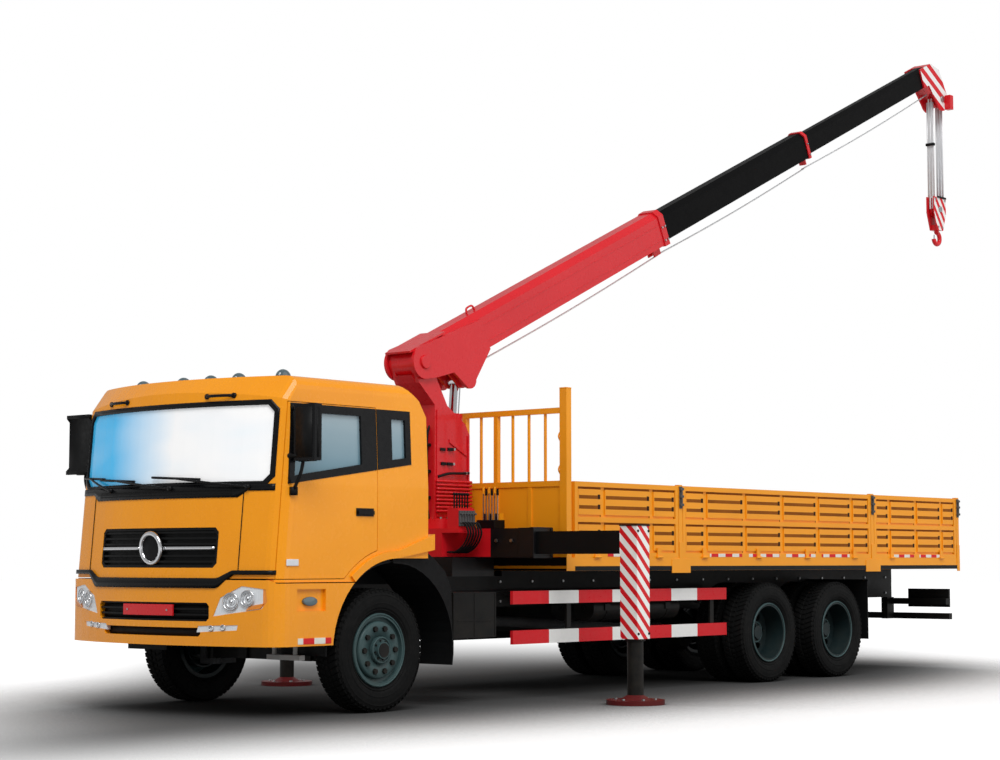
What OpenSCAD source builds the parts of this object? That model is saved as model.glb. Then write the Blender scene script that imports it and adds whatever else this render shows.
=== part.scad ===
// Truck-mounted crane: a six-wheel dropside lorry with a telescopic crane behind its cab.
// Millimetres, +X forwards, +Y to the left, +Z up, the ground at Z = 0.
// Places along X are measured from the front axle. The whole is then shifted along X
// so that its box is centred on the origin.

/* [Vehicle] */
// Front axle to first rear axle
wheelbase = 5650; // [5200:10:6200]
// First rear axle to second rear axle
bogie_spacing = 1300; // [1200:10:1450]
// Width over the cab and the load bed
body_w = 2480; // [2420:10:2560]
// Outer width over the two chassis rails
frame_w = 860; // [800:10:900]
// Height of a chassis rail
rail_h = 280; // [220:10:320]
// Underside of the chassis rails above the ground
rail_z = 800; // [780:10:860]

/* [Wheels] */
// Tyre outside diameter
tyre_d = 1000; // [960:10:1040]
// Tyre section width
tyre_w = 280; // [240:10:300]
// Diameter of the rim seat
rim_d = 560; // [520:10:580]
// Spacing between the twin rear tyres
twin_pitch = 320; // [310:5:340]
// King pin inwards from the side of the cab
king_inset = 420; // [390:5:460]

/* [Cab] */
// Foremost point of the bumper ahead of the front axle
bumper_x = 1450; // [1400:10:1500]
// Back of the cab behind the front axle
cab_back_x = -500; // [-540:10:-460]
// Top of the roof above the ground
roof_z = 2670; // [2600:10:2800]
// Underside of the bumper above the ground
bumper_z = 560; // [520:10:600]
// Underside of the front panel above the ground
panel_z = 1083; // [1060:1:1110]
// Thickness of the cab's walls and doors
cab_wall = 50; // [35:1:60]
// How far the corners of the cab sweep back from its middle
cab_sweep = 230; // [180:10:260]
// Lean of the windscreen from upright
screen_lean = 5; // [3:0.5:8]
// Height of the window sill at the front of the door
sill_z = 1820; // [1780:10:1860]
// Top edge of the windows
window_top_z = 2440; // [2400:10:2460]
// Front edge of the door ahead of the front axle
door_front_x = 1130; // [1100:10:1150]
// Rear edge of the door ahead of the front axle
door_rear_x = 100; // [60:10:160]
// Gap all round a door
door_gap = 6; // [5:1:10]
// Pane thickness of the windows
glass_t = 6; // [4:1:8]

/* [Load bed] */
// Front of the load floor behind the front axle
bed_front_x = -2440; // [-2500:10:-2420]
// Length of the load floor
bed_l = 7110; // [6600:10:7300]
// Top of the load floor above the ground
bed_z = 1256; // [1240:1:1300]
// Height of the dropsides above the floor
side_h = 680; // [500:10:760]
// Thickness of the dropsides
side_t = 45; // [40:1:60]
// Width of a stake post
stake_w = 60; // [50:5:80]
// First stake post behind the front of the bed
stake_1 = 1630; // [1400:10:1800]
// Second stake post behind the front of the bed
stake_2 = 5180; // [4900:10:5300]
// Gap at the ends of each dropside
side_gap = 8; // [6:1:12]
// Top of the headboard's rail above the ground
head_rail_z = 2600; // [2400:10:2610]
// Top of the headboard's corner posts above the ground
head_post_z = 2770; // [2650:10:2780]

/* [Crane] */
// Slewing axis behind the front axle
slew_x = -2000; // [-2040:5:-1960]
// Boom pivot ahead of the slewing axis
pivot_x = 400; // [360:5:440]
// Boom pivot above the ground
pivot_z = 3020; // [2980:5:3100]
// Elevation of the boom as it stands
boom_angle = 24.8; // [20:0.1:30]
// Height of the base section of the boom
boom_h = 360; // [340:5:380]
// Width of the base section of the boom
boom_w = 270; // [260:2:280]
// How much lower each next section of the boom is
stage_drop = 58; // [54:2:64]
// How much narrower each next section of the boom is
stage_narrow = 42; // [38:2:46]
// Wall of the boom sections
boom_t = 12; // [8:1:14]
// Pivot to the end of the base section
base_l = 4130; // [3900:10:4400]
// Length of each telescopic section that is drawn out
stage_out = 3130; // [3000:10:3300]
// Travel of each telescopic section
stage_travel = 2800; // [2400:10:2850]
// Diameter of the lift cylinder's barrel
barrel_d = 150; // [140:2:160]
// Diameter of the lift cylinder's rod
rod_d = 100; // [80:2:110]
// Pin of the boom's head to the pin of the hook block
fall_l = 1420; // [1200:10:1500]

/* [Outriggers] */
// Middle of a jack from the middle of the vehicle, drawn out
jack_y = 2150; // [2050:10:2200]
// Travel of each outrigger beam
beam_travel = 925; // [800:5:930]
// Side of the jack's square case
jack_w = 180; // [160:2:190]
// Travel of each jack
jack_travel = 400; // [300:10:400]
// Diameter of a foot plate
foot_d = 500; // [360:10:520]

/* [Hidden] */
$fn = 48;

// Colours
orange = "#f6a21f";
red = "#d8232a";
black = "#17181a";
grey = "#5b6064";
steel = "#b9bec2";
white = "#f2f2ee";
glass = "#9fc4dd";

// Clearances
slide_gap = 0.5;
run_gap = 0.3;

// Vehicle
half_w = body_w / 2;
hub_z = tyre_d / 2;
rail_t = 10;
rail_flange = 80;
rail_y = frame_w / 2;
rail_top = rail_z + rail_h;
rail_front_x = 1060;
bed_rear_x = bed_front_x - bed_l;
rail_rear_x = bed_rear_x + 150;
rear_axles = [-wheelbase, -wheelbase - bogie_spacing];
king_y = half_w - king_inset;
front_tyre_y = king_y + 230;
twin_y = half_w - 30 - twin_pitch / 2 - tyre_w / 2;

// Boom: s runs along the boom from its pivot, n square to it and upwards
boom_pivot = [slew_x + pivot_x, 0, pivot_z];
boom_n = -30;
stage_1_end = base_l + stage_out;
stage_2_end = stage_1_end + stage_out;
root_s = 400;
stage_lap = base_l - stage_travel - root_s - boom_t - 18;
stage_1_h = boom_h - stage_drop;
stage_2_h = boom_h - 2 * stage_drop;
stage_1_w = boom_w - stage_narrow;
stage_2_w = boom_w - 2 * stage_narrow;
head_pin_s = stage_2_end + 230;
head_pin_n = -400;
head_r = 150;
function boom_point(s, n) = [
    boom_pivot[0] - s * cos(boom_angle) + n * sin(boom_angle),
    boom_pivot[2] + s * sin(boom_angle) + n * cos(boom_angle)];
head_pin = boom_point(head_pin_s, head_pin_n);
boom_rear_x = head_pin[0] - head_r;

// The whole is centred between the bumper and the boom's head
shift_x = -(bumper_x + boom_rear_x) / 2;

// Points on an arc about a centre c, from angle a to angle b in n steps
function arc(c, r, a, b, n) =
    [for (i = [0:n]) let (t = a + (b - a) * i / n) [c[0] + r * cos(t), c[1] + r * sin(t)]];

// A block between two values on each axis
module block(x, y, z)
    translate([x[0], y[0], z[0]]) cube([x[1] - x[0], y[1] - y[0], z[1] - z[0]]);

// The children on the left and again on the right
module both_sides() {
    children();
    mirror([0, 1, 0]) children();
}

// A plate with an outline in X and Z, between two values of Y
module side_plate(outline, y)
    translate([0, y[1], 0]) rotate([90, 0, 0]) linear_extrude(y[1] - y[0]) polygon(outline);

// A plate with an outline in Y and Z, between two values of X
module cross_plate(outline, x)
    translate([x[0], 0, 0]) rotate([90, 0, 90]) linear_extrude(x[1] - x[0]) polygon(outline);

// A round bar along Y at a place in X and Z
module bar_y(x, z, d, y) translate([x, y[0], z]) rotate([-90, 0, 0]) cylinder(d = d, h = y[1] - y[0]);

// A round bar along X at a place in Y and Z
module bar_x(y, z, d, x) translate([x[0], y, z]) rotate([0, 90, 0]) cylinder(d = d, h = x[1] - x[0]);

// Everything is drawn from the front axle and then shifted
module placed() translate([shift_x, 0, 0]) children();

// Chassis frame

cross_w = 80;
cross_members = [rail_front_x - cross_w - 5, -1000, -1650, -3400, -4600, rear_axles[0] - bogie_spacing / 2 - 40,
    -8000, rail_rear_x + 5];

module rail_profile() polygon([
    [rail_y, rail_z], [rail_y, rail_top], [rail_y - rail_flange, rail_top],
    [rail_y - rail_flange, rail_top - rail_t], [rail_y - rail_t, rail_top - rail_t],
    [rail_y - rail_t, rail_z + rail_t], [rail_y - rail_flange, rail_z + rail_t],
    [rail_y - rail_flange, rail_z]]);

module chassis_frame() color(black) placed() {
    both_sides() translate([rail_rear_x, 0, 0]) rotate([90, 0, 90])
        linear_extrude(rail_front_x - rail_rear_x) rail_profile();
    for (x = cross_members)
        block([x, x + cross_w], [-rail_y + rail_t / 2, rail_y - rail_t / 2], [rail_z + 40, rail_top - 40]);
}

// Axles and leaf springs

beam_z = [hub_z - 110, hub_z - 20];
king_pin_d = 50;
king_eye_d = 110;
spindle_d = 70;
rear_spindle_d = 110;
rear_tube_d = 190;
spring_w = 68;
spring_t = 70;
front_spring_half = 700;
front_spring_rise = 120;
bogie_x = (rear_axles[0] + rear_axles[1]) / 2;
spring_y = rail_y - rail_flange / 2;

// A bow of leaves: half length, height of its middle above its ends, top of the ends
module leaf_bow(x, half, rise, z) {
    r = (half * half + rise * rise) / (2 * abs(rise));
    a = asin(half / r);
    top = rise > 0 ? 90 : -90;
    c = rise > 0 ? [x, z + rise - r] : [x, z + rise + r];
    outer = arc(c, r, top - a, top + a, 12);
    inner = arc(c, r + (rise > 0 ? -spring_t : spring_t), top + a, top - a, 12);
    both_sides() side_plate(concat(outer, inner), [spring_y - spring_w / 2, spring_y + spring_w / 2]);
}

module front_beam() difference() {
    union() {
        block([-45, 45], [-king_y, king_y], beam_z);
        both_sides() translate([0, king_y, beam_z[0] - 10]) cylinder(d = king_eye_d, h = 130);
        both_sides() block([-70, 70], [spring_y - 55, spring_y + 55], [beam_z[0], front_seat_z]);
    }
    both_sides() translate([0, king_y, 0]) cylinder(d = king_pin_d + 2 * run_gap, h = tyre_d);
}
front_seat_z = beam_z[1] + 60;

// Spring hangers from the rail down to the eyes of a bow
module hangers(xs, z) both_sides() for (x = xs)
    block([x - 45, x + 45], [spring_y - spring_w / 2, spring_y + spring_w / 2], [z, rail_z]);

module rear_axle(x) {
    bar_y(x, hub_z, rear_tube_d, [-twin_y + 260, twin_y - 260]);
    bar_y(x, hub_z, rear_spindle_d, [-twin_y - 60, twin_y + 60]);
    translate([x, 0, hub_z]) intersection() {
        sphere(d = 460);
        block([-230, 230], [-150, 150], [-230, 230]);
    }
    both_sides() block([x - 80, x + 80], [spring_y - 55, spring_y + 55], [hub_z, rear_seat_z + 20]);
}
rear_seat_z = hub_z + rear_tube_d / 2 + 25;
rear_spring_rise = 90;

module axles() color(grey) placed() {
    front_beam();
    leaf_bow(0, front_spring_half, -front_spring_rise, front_seat_z + front_spring_rise + spring_t);
    hangers([-front_spring_half + 40, front_spring_half - 40], front_seat_z + front_spring_rise + spring_t - 60);
    for (x = rear_axles) rear_axle(x);
    leaf_bow(bogie_x, bogie_spacing / 2, rear_spring_rise, rear_seat_z + spring_t);
    hangers([bogie_x - 60, bogie_x + 60], rear_seat_z + rear_spring_rise + spring_t - 40);
    translate([bogie_x - bogie_spacing / 2 + rear_tube_d / 2, 0, 0])
        bar_x(0, hub_z, 110, [0, bogie_spacing - rear_tube_d]);
}

// Engine and gearbox, closed in under the cab

module engine() color(grey) placed() {
    block([150, rail_front_x - cross_w - 5], [-rail_y + rail_flange, rail_y - rail_flange], [rail_z - 160, cab_floor_z - 70]);
    block([-600, 150], [-260, 260], [rail_z - 120, rail_top - 30]);
    bar_x(0, rail_z + 60, 380, [-850, -600]);
}

// Battery box, air reservoirs and fuel tank on the outer faces of the rails

tank_y = half_w - 170;
tank_x = [-wheelbase + 1250, -wheelbase + 2600];
module tanks() color(black) placed() {
    block([-1560, -1000], [rail_y, tank_y], [rail_z - 240, rail_z + 150]);
    for (y = [rail_y + 160, rail_y + 430]) bar_x(y, rail_z - 20, 240, tank_x);
    for (x = [tank_x[0] + 200, tank_x[1] - 200])
        block([x - 40, x + 40], [rail_y, rail_y + 560], [rail_z - 40, rail_z + 20]);
    mirror([0, 1, 0]) intersection() {
        block([-4300, -2700], [rail_y, tank_y], [rail_z - 340, rail_z + 220]);
        translate([-4300, (rail_y + tank_y) / 2, rail_z - 60]) rotate([0, 90, 0])
            cylinder(d = 760, h = 1600);
    }
}

// Mudguards: a curved guard behind each front wheel, flaps behind the rear wheels

arch_c = [-120, hub_z];
arch_r = hub_z + 240;
guard_r = arch_r - 40;
guard_t = 12;
guard_inner_y = 860;
flap_x = rear_axles[1] - hub_z - 140;

module mudguards() color(black) placed() both_sides() {
    side_plate(concat(
        arc(arch_c, guard_r, 88, 192, 14), arc(arch_c, guard_r + guard_t, 192, 88, 14)),
        [guard_inner_y, half_w - 10]);
    bar_y(arch_c[0] - (guard_r + 30) * cos(30), arch_c[1] + (guard_r + 30) * sin(30), 50, [rail_y, half_w - 140]);
    block([flap_x, flap_x + guard_t], [twin_y - 300, half_w - 50], [hub_z - 120, hub_z + 500]);
    block([flap_x - 50, flap_x], [rail_y, half_w - 50], [rail_top - 120, rail_top - 60]);
}

// Side guards: two striped rails a side between the axles

side_rail_y = [half_w - 170, half_w - 140];
side_rail_x = [-5030, -1750];
side_rail_z = [[490, 610], [840, 955]];
side_arm_x = [-4850, -2600];

module side_guards() color(white) placed() both_sides() {
    for (z = side_rail_z) block(side_rail_x, side_rail_y, z);
    for (x = side_arm_x) {
        block([x, x + 60], [side_rail_y[0] - 20, side_rail_y[0]], [side_rail_z[0][0], side_rail_z[1][1]]);
        block([x, x + 60], [rail_y, side_rail_y[0]], [side_rail_z[1][0] + 20, side_rail_z[1][0] + 80]);
    }
}

// Underrun bar and lamp boards at the rear

underrun_x = [bed_rear_x + 30, bed_rear_x + 100];
underrun_z = [550, 620];
lamp_board_y = [620, half_w - 90];

module rear_underrun() color(black) placed() {
    block(underrun_x, [-half_w + 90, half_w - 90], underrun_z);
    both_sides() {
        block([underrun_x[1], rail_rear_x + 100], [rail_y - rail_flange, rail_y], [underrun_z[0], rail_z]);
        block([underrun_x[1], underrun_x[1] + 70], [rail_y, lamp_board_y[1]], [rail_z - 80, rail_z - 10]);
        block([underrun_x[0] + 40, underrun_x[1]], lamp_board_y, [rail_z - 110, rail_z + 100]);
    }
}

// Wheels: drawn about their axle, which lies along Y with the outside of the wheel at +Y

rim_r = rim_d / 2;
rim_half = 0.42 * tyre_w;
rim_lip = 18;
rim_t = 14;
tyre_r = tyre_d / 2;
hub_r = 110;
hand_holes = 8;

module revolved() rotate([-90, 0, 0]) rotate_extrude() children();

module rim_barrel(y) revolved() translate([0, y]) polygon([
    [rim_r - rim_t, -rim_half], [rim_r + rim_lip, -rim_half], [rim_r + rim_lip, -rim_half + 10],
    [rim_r, -rim_half + 10], [rim_r, rim_half - 10], [rim_r + rim_lip, rim_half - 10],
    [rim_r + rim_lip, rim_half], [rim_r - rim_t, rim_half]]);

// The tyre's section: bead, bulged wall, shoulder and tread
module tyre(y) revolved() translate([0, y]) polygon([for (side = [-1, 1], i = [0:6])
    let (k = side < 0 ? 6 - i : i, w = tyre_w / 2, gap = run_gap, mid = (rim_r + tyre_r) / 2,
        row = [[tyre_r, 0.72 * w], [tyre_r - 8, 0.82 * w], [tyre_r - 40, 0.95 * w], [mid + 15, w],
            [mid - 45, 0.98 * w], [rim_r + rim_lip + 4, rim_half - 10 - gap], [rim_r + gap, rim_half - 10 - gap]][k])
    [row[0], side * row[1]]]);

// A dished disc between the hub and the barrel, with hand holes
module wheel_disc(y_hub, y_rim) difference() {
    revolved() polygon([[hub_r - 10, y_hub], [rim_r - rim_t + 2, y_rim],
        [rim_r - rim_t + 2, y_rim + 16], [hub_r - 10, y_hub + 16]]);
    for (i = [0:hand_holes - 1]) rotate([0, i * 360 / hand_holes, 0])
        translate([(hub_r + rim_r) / 2 + 5, -tyre_w, 0]) rotate([-90, 0, 0]) cylinder(d = 66, h = 2 * tyre_w);
}

// Hub and brake drum with a bore for the spindle, closed at the outside
module hub(r, y, bore_d, bore_end) difference() {
    revolved() polygon([[0, y[0]], [r - 10, y[0]], [r - 10, -20], [r + 20, -20], [r + 20, 20], [r, 20],
        [r, y[1] - 30], [0.62 * r, y[1] - 30], [0.62 * r, y[1]], [0, y[1]]]);
    bar_y(0, 0, bore_d + 2 * run_gap, [y[0] - 1, bore_end]);
}

drum_r = 205;
module drum(y) revolved() polygon([[hub_r - 15, y[1] - 12], [drum_r - 14, y[1] - 12], [drum_r - 14, y[0]],
    [drum_r, y[0]], [drum_r, y[1]], [hub_r - 15, y[1]]]);

front_hub_y = [-60, half_w - 20 - front_tyre_y];
module front_wheel() {
    rim_barrel(0);
    wheel_disc(44, 70);
    hub(hub_r, front_hub_y, spindle_d, 100);
    revolved() polygon([[hub_r - 20, 40], [hub_r + 60, 40], [hub_r + 60, 62], [hub_r - 20, 62]]);
    drum([-100, 44]);
}

module rear_wheel() {
    for (side = [-1, 1]) {
        rim_barrel(side * twin_pitch / 2);
        mirror([0, side > 0 ? 0 : 1, 0]) wheel_disc(8, twin_pitch / 2 - rim_half + 10);
    }
    hub(hub_r, [-180, 150], rear_spindle_d, 80);
    drum([-230, -130]);
}

// Places a wheel: where on X and Y, and which side of the vehicle
module at_wheel(x, y, side) placed() mirror([0, side > 0 ? 0 : 1, 0]) translate([x, y, hub_z]) children();

module tyre_front(side) color(black) at_wheel(0, front_tyre_y, side) tyre(0);
module wheel_front(side) color(grey) at_wheel(0, front_tyre_y, side) front_wheel();
module tyre_rear(axle, side) color(black) at_wheel(rear_axles[axle], twin_y, side)
    for (end = [-1, 1]) tyre(end * twin_pitch / 2);
module wheel_rear(axle, side) color(grey) at_wheel(rear_axles[axle], twin_y, side) rear_wheel();

// Steering knuckle: yoke over the beam's eye, king pin and wheel spindle

yoke_gap = 6;
yoke_t = 45;
module knuckle(side) color(grey) placed() mirror([0, side > 0 ? 0 : 1, 0]) {
    z = [beam_z[0] - 10 - yoke_gap, beam_z[0] + 120 + yoke_gap];
    block_y = [king_y + king_eye_d / 2 + yoke_gap, front_tyre_y - 105];
    translate([0, king_y, z[0] - yoke_t]) cylinder(d = king_pin_d, h = z[1] - z[0] + 2 * yoke_t);
    for (base = [z[0] - yoke_t, z[1]]) {
        translate([0, king_y, base]) cylinder(d = king_eye_d, h = yoke_t);
        block([-king_eye_d / 2, king_eye_d / 2], [king_y, block_y[1]], [base, base + yoke_t]);
    }
    block([-king_eye_d / 2, king_eye_d / 2], block_y, [z[0] - yoke_t, z[1] + yoke_t]);
    bar_y(0, hub_z, spindle_d, [block_y[0], front_tyre_y + 90]);
    block([-260, 0], [king_y + 10, king_y + 60], [z[0] - yoke_t, z[0]]);
}

// Cab shell: a bowed front with rounded corners, leaning back, under a rounded roof

cab_front_x = bumper_x - 20;
cab_corner_r = 160;
cab_front_r = (half_w * half_w + cab_sweep * cab_sweep) / (2 * cab_sweep);
cab_arc_x = cab_front_x - cab_front_r;
cab_corner_y = half_w - cab_corner_r;
cab_corner_x = cab_arc_x + sqrt(pow(cab_front_r - cab_corner_r, 2) - pow(cab_corner_y, 2));
cab_corner_a = atan2(cab_corner_y, cab_corner_x - cab_arc_x);
cab_far = -3000;
front_steps = 16;
tumble_in = 35;
roof_side_r = 110;
visor_drop = 110;
visor_lean = 38;
roof_split_z = window_top_z + 20;
cab_low_z = panel_z - 30;
cab_floor_z = 1300;
cab_floor_t = 60;

// Outline of the cab from above, moved inwards by i
function cab_plan(i) = let (step = 2 * cab_corner_a / front_steps) concat(
    [[cab_far, -half_w + i]],
    arc([cab_corner_x, -cab_corner_y], cab_corner_r - i, -90, -cab_corner_a, 5),
    arc([cab_arc_x, 0], cab_front_r - i, step - cab_corner_a, cab_corner_a - step, front_steps - 2),
    arc([cab_corner_x, cab_corner_y], cab_corner_r - i, cab_corner_a, 90, 5),
    [[cab_far, half_w - i]]);

// Section of the cab from the front, moved inwards by i
function cab_section(i) = let (
    slope = tumble_in / (roof_z - roof_side_r - sill_z),
    half = concat([[half_w + slope * sill_z - i, 0]],
        arc([half_w - tumble_in - roof_side_r, roof_z - roof_side_r], roof_side_r - i, 0, 90, 5)))
    concat(half, [for (k = [len(half) - 1:-1:0]) [-half[k][0], half[k][1]]]);

// Profile of the cab's back and roof from the side, moved inwards by i
function cab_profile(i) = [[cab_back_x + i, 0], [cab_back_x + i, roof_z - 260],
    [cab_back_x + 80 + i, roof_z - 130 - i / 3], [cab_back_x + 260 + i, roof_z + 6 - i],
    [bumper_x + 500, roof_z + 6 - i], [bumper_x + 500, 0]];

function front_at(z) = cab_front_x - (z - panel_z) * tan(screen_lean);
function door_front_at(z) = door_front_x - (z - sill_z) * tan(screen_lean);

module leaned_plan(z, lean, i) translate([front_at(z), 0, z]) rotate([0, -lean, 0])
    translate([-cab_front_x, 0, -1700]) linear_extrude(3600) polygon(cab_plan(i));

module cab_solid(i) intersection() {
    leaned_plan(panel_z, screen_lean, i);
    leaned_plan(roof_z - visor_drop, visor_lean, i);
    cross_plate(cab_section(i), [cab_back_x - 100, bumper_x + 400]);
    side_plate(cab_profile(i), [-half_w - 100, half_w + 100]);
}

module cab_shell() difference() {
    cab_solid(0);
    cab_solid(cab_wall);
}

// A rectangle in Y and Z with cut corners, through the front of the cab
module front_opening(y, z, c, x = [900, 2000]) cross_plate([
    [y[0] + c, z[0]], [y[1] - c, z[0]], [y[1], z[0] + c], [y[1], z[1] - c],
    [y[1] - c, z[1]], [y[0] + c, z[1]], [y[0], z[1] - c], [y[0], z[0] + c]], x);

screen_y = half_w - 115;
screen_z = [sill_z + 10, window_top_z];
module screen_opening() front_opening([-screen_y, screen_y], screen_z, 50);

grille_y = 705;
grille_z = [1165, 1480];
module grille_opening() front_opening([-grille_y, grille_y], grille_z, 35);

module front_panel() color(orange) placed() difference() {
    intersection() {
        cab_shell();
        side_plate([[door_front_at(panel_z), panel_z], [bumper_x + 300, panel_z],
            [bumper_x + 300, roof_split_z], [door_front_at(roof_split_z), roof_split_z]],
            [-half_w - 50, half_w + 50]);
    }
    screen_opening();
    grille_opening();
}

module cab_roof() color(orange) placed() intersection() {
    cab_shell();
    block([cab_back_x - 50, bumper_x], [-half_w, half_w], [roof_split_z, roof_z + 50]);
}

back_window_y = 560;
back_window_z = [1900, 2330];
module cab_back() color(orange) placed() difference() {
    intersection() {
        cab_shell();
        block([cab_back_x - 50, cab_back_x + cab_wall], [-half_w, half_w], [cab_floor_z - cab_floor_t, roof_split_z]);
    }
    block([cab_back_x - 50, cab_back_x + 100], [-back_window_y, back_window_y], back_window_z);
    both_sides() arch_tail(0);
}

// Outline of a door from the side, moved inwards by c
door_arch_r = arch_r + 90;
function door_outline(c, top) = let (
    low = cab_low_z + 22 + c,
    r = door_arch_r + c,
    a = asin((low - hub_z) / r),
    b = acos((door_rear_x + c - arch_c[0]) / r))
    concat([[door_front_at(low) - c, low]], arc(arch_c, r, a, b, 6),
        [[door_rear_x + c, top], [door_front_at(top) - c, top]]);

// The window sills climb towards the back
function sill_at(x) = sill_z + (door_front_x - x) * 0.14;
door_window = let (f = door_front_x - 65, r = door_rear_x + 130, t = window_top_z - 25)
    [[f, sill_at(f) + 20], [f - 45, t], [r, t], [r, sill_at(r) + 20]];
quarter_window = let (f = door_rear_x - 60, r = cab_back_x + 230, t = window_top_z - 25)
    [[f, sill_at(f) + 20], [f, t], [r, t], [r, sill_at(r) + 20]];
wall_y = [half_w - 200, half_w + 60];

flare_w = 60;
flare_out = 22;
module flare(a, b, n) side_plate(concat(arc(arch_c, arch_r, a, b, n), arc(arch_c, arch_r + flare_w, b, a, n)),
    [half_w - cab_wall, half_w + flare_out]);

// The arch's lip where it runs on to the back of the cab, grown by c
module arch_tail(c) side_plate([[arch_c[0], arch_c[1] + arch_r - c], [cab_back_x - 60, arch_c[1] + arch_r + 70 - c],
    [cab_back_x - 60, arch_c[1] + arch_r + 200 + c], [arch_c[0], arch_c[1] + arch_r + flare_w + c]],
    [half_w - cab_wall - c, half_w + flare_out]);

// Quarter panels behind the doors, with the sills and the wheel arches
module cab_sides() color(orange) placed() both_sides() {
    difference() {
        intersection() {
            cab_shell();
            side_plate(concat([[door_front_at(cab_low_z), cab_low_z]],
                arc(arch_c, arch_r, asin((cab_low_z - hub_z) / arch_r), 90, 8),
                [[cab_back_x + cab_wall, arch_c[1] + arch_r], [cab_back_x + cab_wall, roof_split_z],
                    [door_front_at(roof_split_z), roof_split_z]]), wall_y);
        }
        side_plate(door_outline(0, roof_split_z + 5), wall_y);
        side_plate(quarter_window, wall_y);
    }
    flare(asin((cab_low_z - hub_z) / arch_r), 90, 8);
    arch_tail(0);
}

module cab_floor() color(grey) placed() {
    intersection() {
        cab_solid(cab_wall + door_gap);
        block([cab_back_x, door_front_x - 140], [-half_w, half_w], [cab_floor_z - cab_floor_t, cab_floor_z]);
    }
    intersection() {
        cab_solid(cab_wall);
        block([cab_back_x, bumper_x], [-950, 950], [cab_floor_z - cab_floor_t, cab_floor_z]);
    }
    both_sides() for (x = [-380, 760])
        block([x, x + 110], [rail_y - rail_flange, rail_y], [rail_top, cab_floor_z - cab_floor_t]);
}

// A pane set midway in the wall of the cab
module pane(outline) intersection() {
    difference() {
        cab_solid(cab_wall / 2 - glass_t);
        cab_solid(cab_wall / 2);
    }
    side_plate(outline, wall_y);
}

module cab_glass() color(glass) placed() {
    intersection() {
        difference() {
            cab_solid(12);
            cab_solid(12 + glass_t);
        }
        screen_opening();
    }
    block([cab_back_x + 20, cab_back_x + 20 + glass_t], [-back_window_y, back_window_y], back_window_z);
    both_sides() pane(quarter_window);
}

// A round bar between two points
module strut(p, q, d) {
    v = q - p;
    l = norm(v);
    translate(p) rotate([0, acos(v[2] / l), atan2(v[1], v[0])]) cylinder(d = d, h = l);
}

// Mirror: a head on two arms from the front edge of the door
mirror_x = [985, 1060];
mirror_y = [half_w + 20, half_w + 250];
mirror_z = [1990, 2430];
module mirror_head() {
    block(mirror_x, mirror_y, mirror_z);
    difference() {
        for (z = [mirror_z[0] + 40, mirror_z[1] - 20])
            strut([door_front_at(z) - 50, half_w - 60, z], [mirror_x[1] - 20, mirror_y[0] + 30, z], 26);
        cab_solid(4);
    }
}

module door(side) color(orange) placed() mirror([0, side > 0 ? 0 : 1, 0]) {
    difference() {
        intersection() {
            cab_shell();
            side_plate(door_outline(door_gap, roof_split_z - door_gap), wall_y);
        }
        side_plate(door_window, wall_y);
    }
    block([door_rear_x + 60, door_rear_x + 240], [half_w - 10, half_w + 24], [1590, 1620]);
    mirror_head();
}

module door_glass(side) color(glass) placed() mirror([0, side > 0 ? 0 : 1, 0]) pane(door_window);

// Seats, dashboard and steering wheel

seat_profile = [[0, 0], [420, 0], [500, 330], [480, 420], [60, 420], [-60, 1080], [-190, 1080], [-90, 330]];
wheel_lean = 35;
module cab_interior() color(black) placed() {
    for (y = [[340, 880], [-880, -340]])
        translate([0, 0, cab_floor_z]) side_plate(seat_profile, y);
    block([-50, 420], [-300, 300], [cab_floor_z, cab_floor_z + 330]);
    intersection() {
        cab_solid(cab_wall);
        side_plate([[1010, 1330], [1500, 1330], [1500, sill_z - 20], [1080, sill_z - 20], [980, 1700]],
            [-half_w + 110, half_w - 110]);
    }
    translate([800, 610, sill_z - 10]) rotate([0, -wheel_lean, 0]) {
        rotate_extrude() translate([210, 0]) circle(r = 16);
        for (a = [90, 210, 330]) rotate([0, 0, a]) translate([0, -14, -8]) cube([205, 28, 16]);
        translate([0, 0, -360]) cylinder(d = 60, h = 365);
    }
}

// Bumper, grille and lamps

bumper_out = 20;
bumper_lip = 12;
module bumper_plan(i) linear_extrude(panel_z) polygon(cab_plan(i - bumper_out));
lower_grille_y = 665;
lower_grille_z = [750, 895];
slot_y = 585;
slot_z = [632, 700];
headlamp = [[705, 790], [1130, 850], [1170, 905], [1160, 1000], [960, 1025], [770, 935]];
fog_lamp = [[545, 665], [920, 685], [930, 725], [560, 715]];
step_x = [700, 1010];
step_z = [830, 1000];

module bumper() color(orange) placed() {
    difference() {
        intersection() {
            bumper_plan(0);
            side_plate([[300, bumper_z], [bumper_x + 100, bumper_z], [bumper_x + 100, panel_z - bumper_lip],
                [door_front_x + 104, panel_z - bumper_lip], [door_front_x + 64, cab_low_z - 8],
                [300, cab_low_z - 8]], [-half_w - 100, half_w + 100]);
        }
        bumper_plan(cab_wall);
        side_plate(concat([[-1000, 0]], arc(arch_c, arch_r, -60, 120, 24)), [-half_w - 200, half_w + 200]);
        front_opening([-lower_grille_y, lower_grille_y], lower_grille_z, 25);
        front_opening([-slot_y, slot_y], slot_z, 20);
        both_sides() {
            cross_plate(headlamp, [900, 2000]);
            cross_plate(fog_lamp, [900, 2000]);
            block(step_x, [half_w - 8, half_w + 100], step_z);
        }
    }
    both_sides() block([rail_front_x, bumper_x - 65], [rail_y - rail_flange, rail_y], [rail_z + 110, rail_z + 200]);
}

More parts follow.
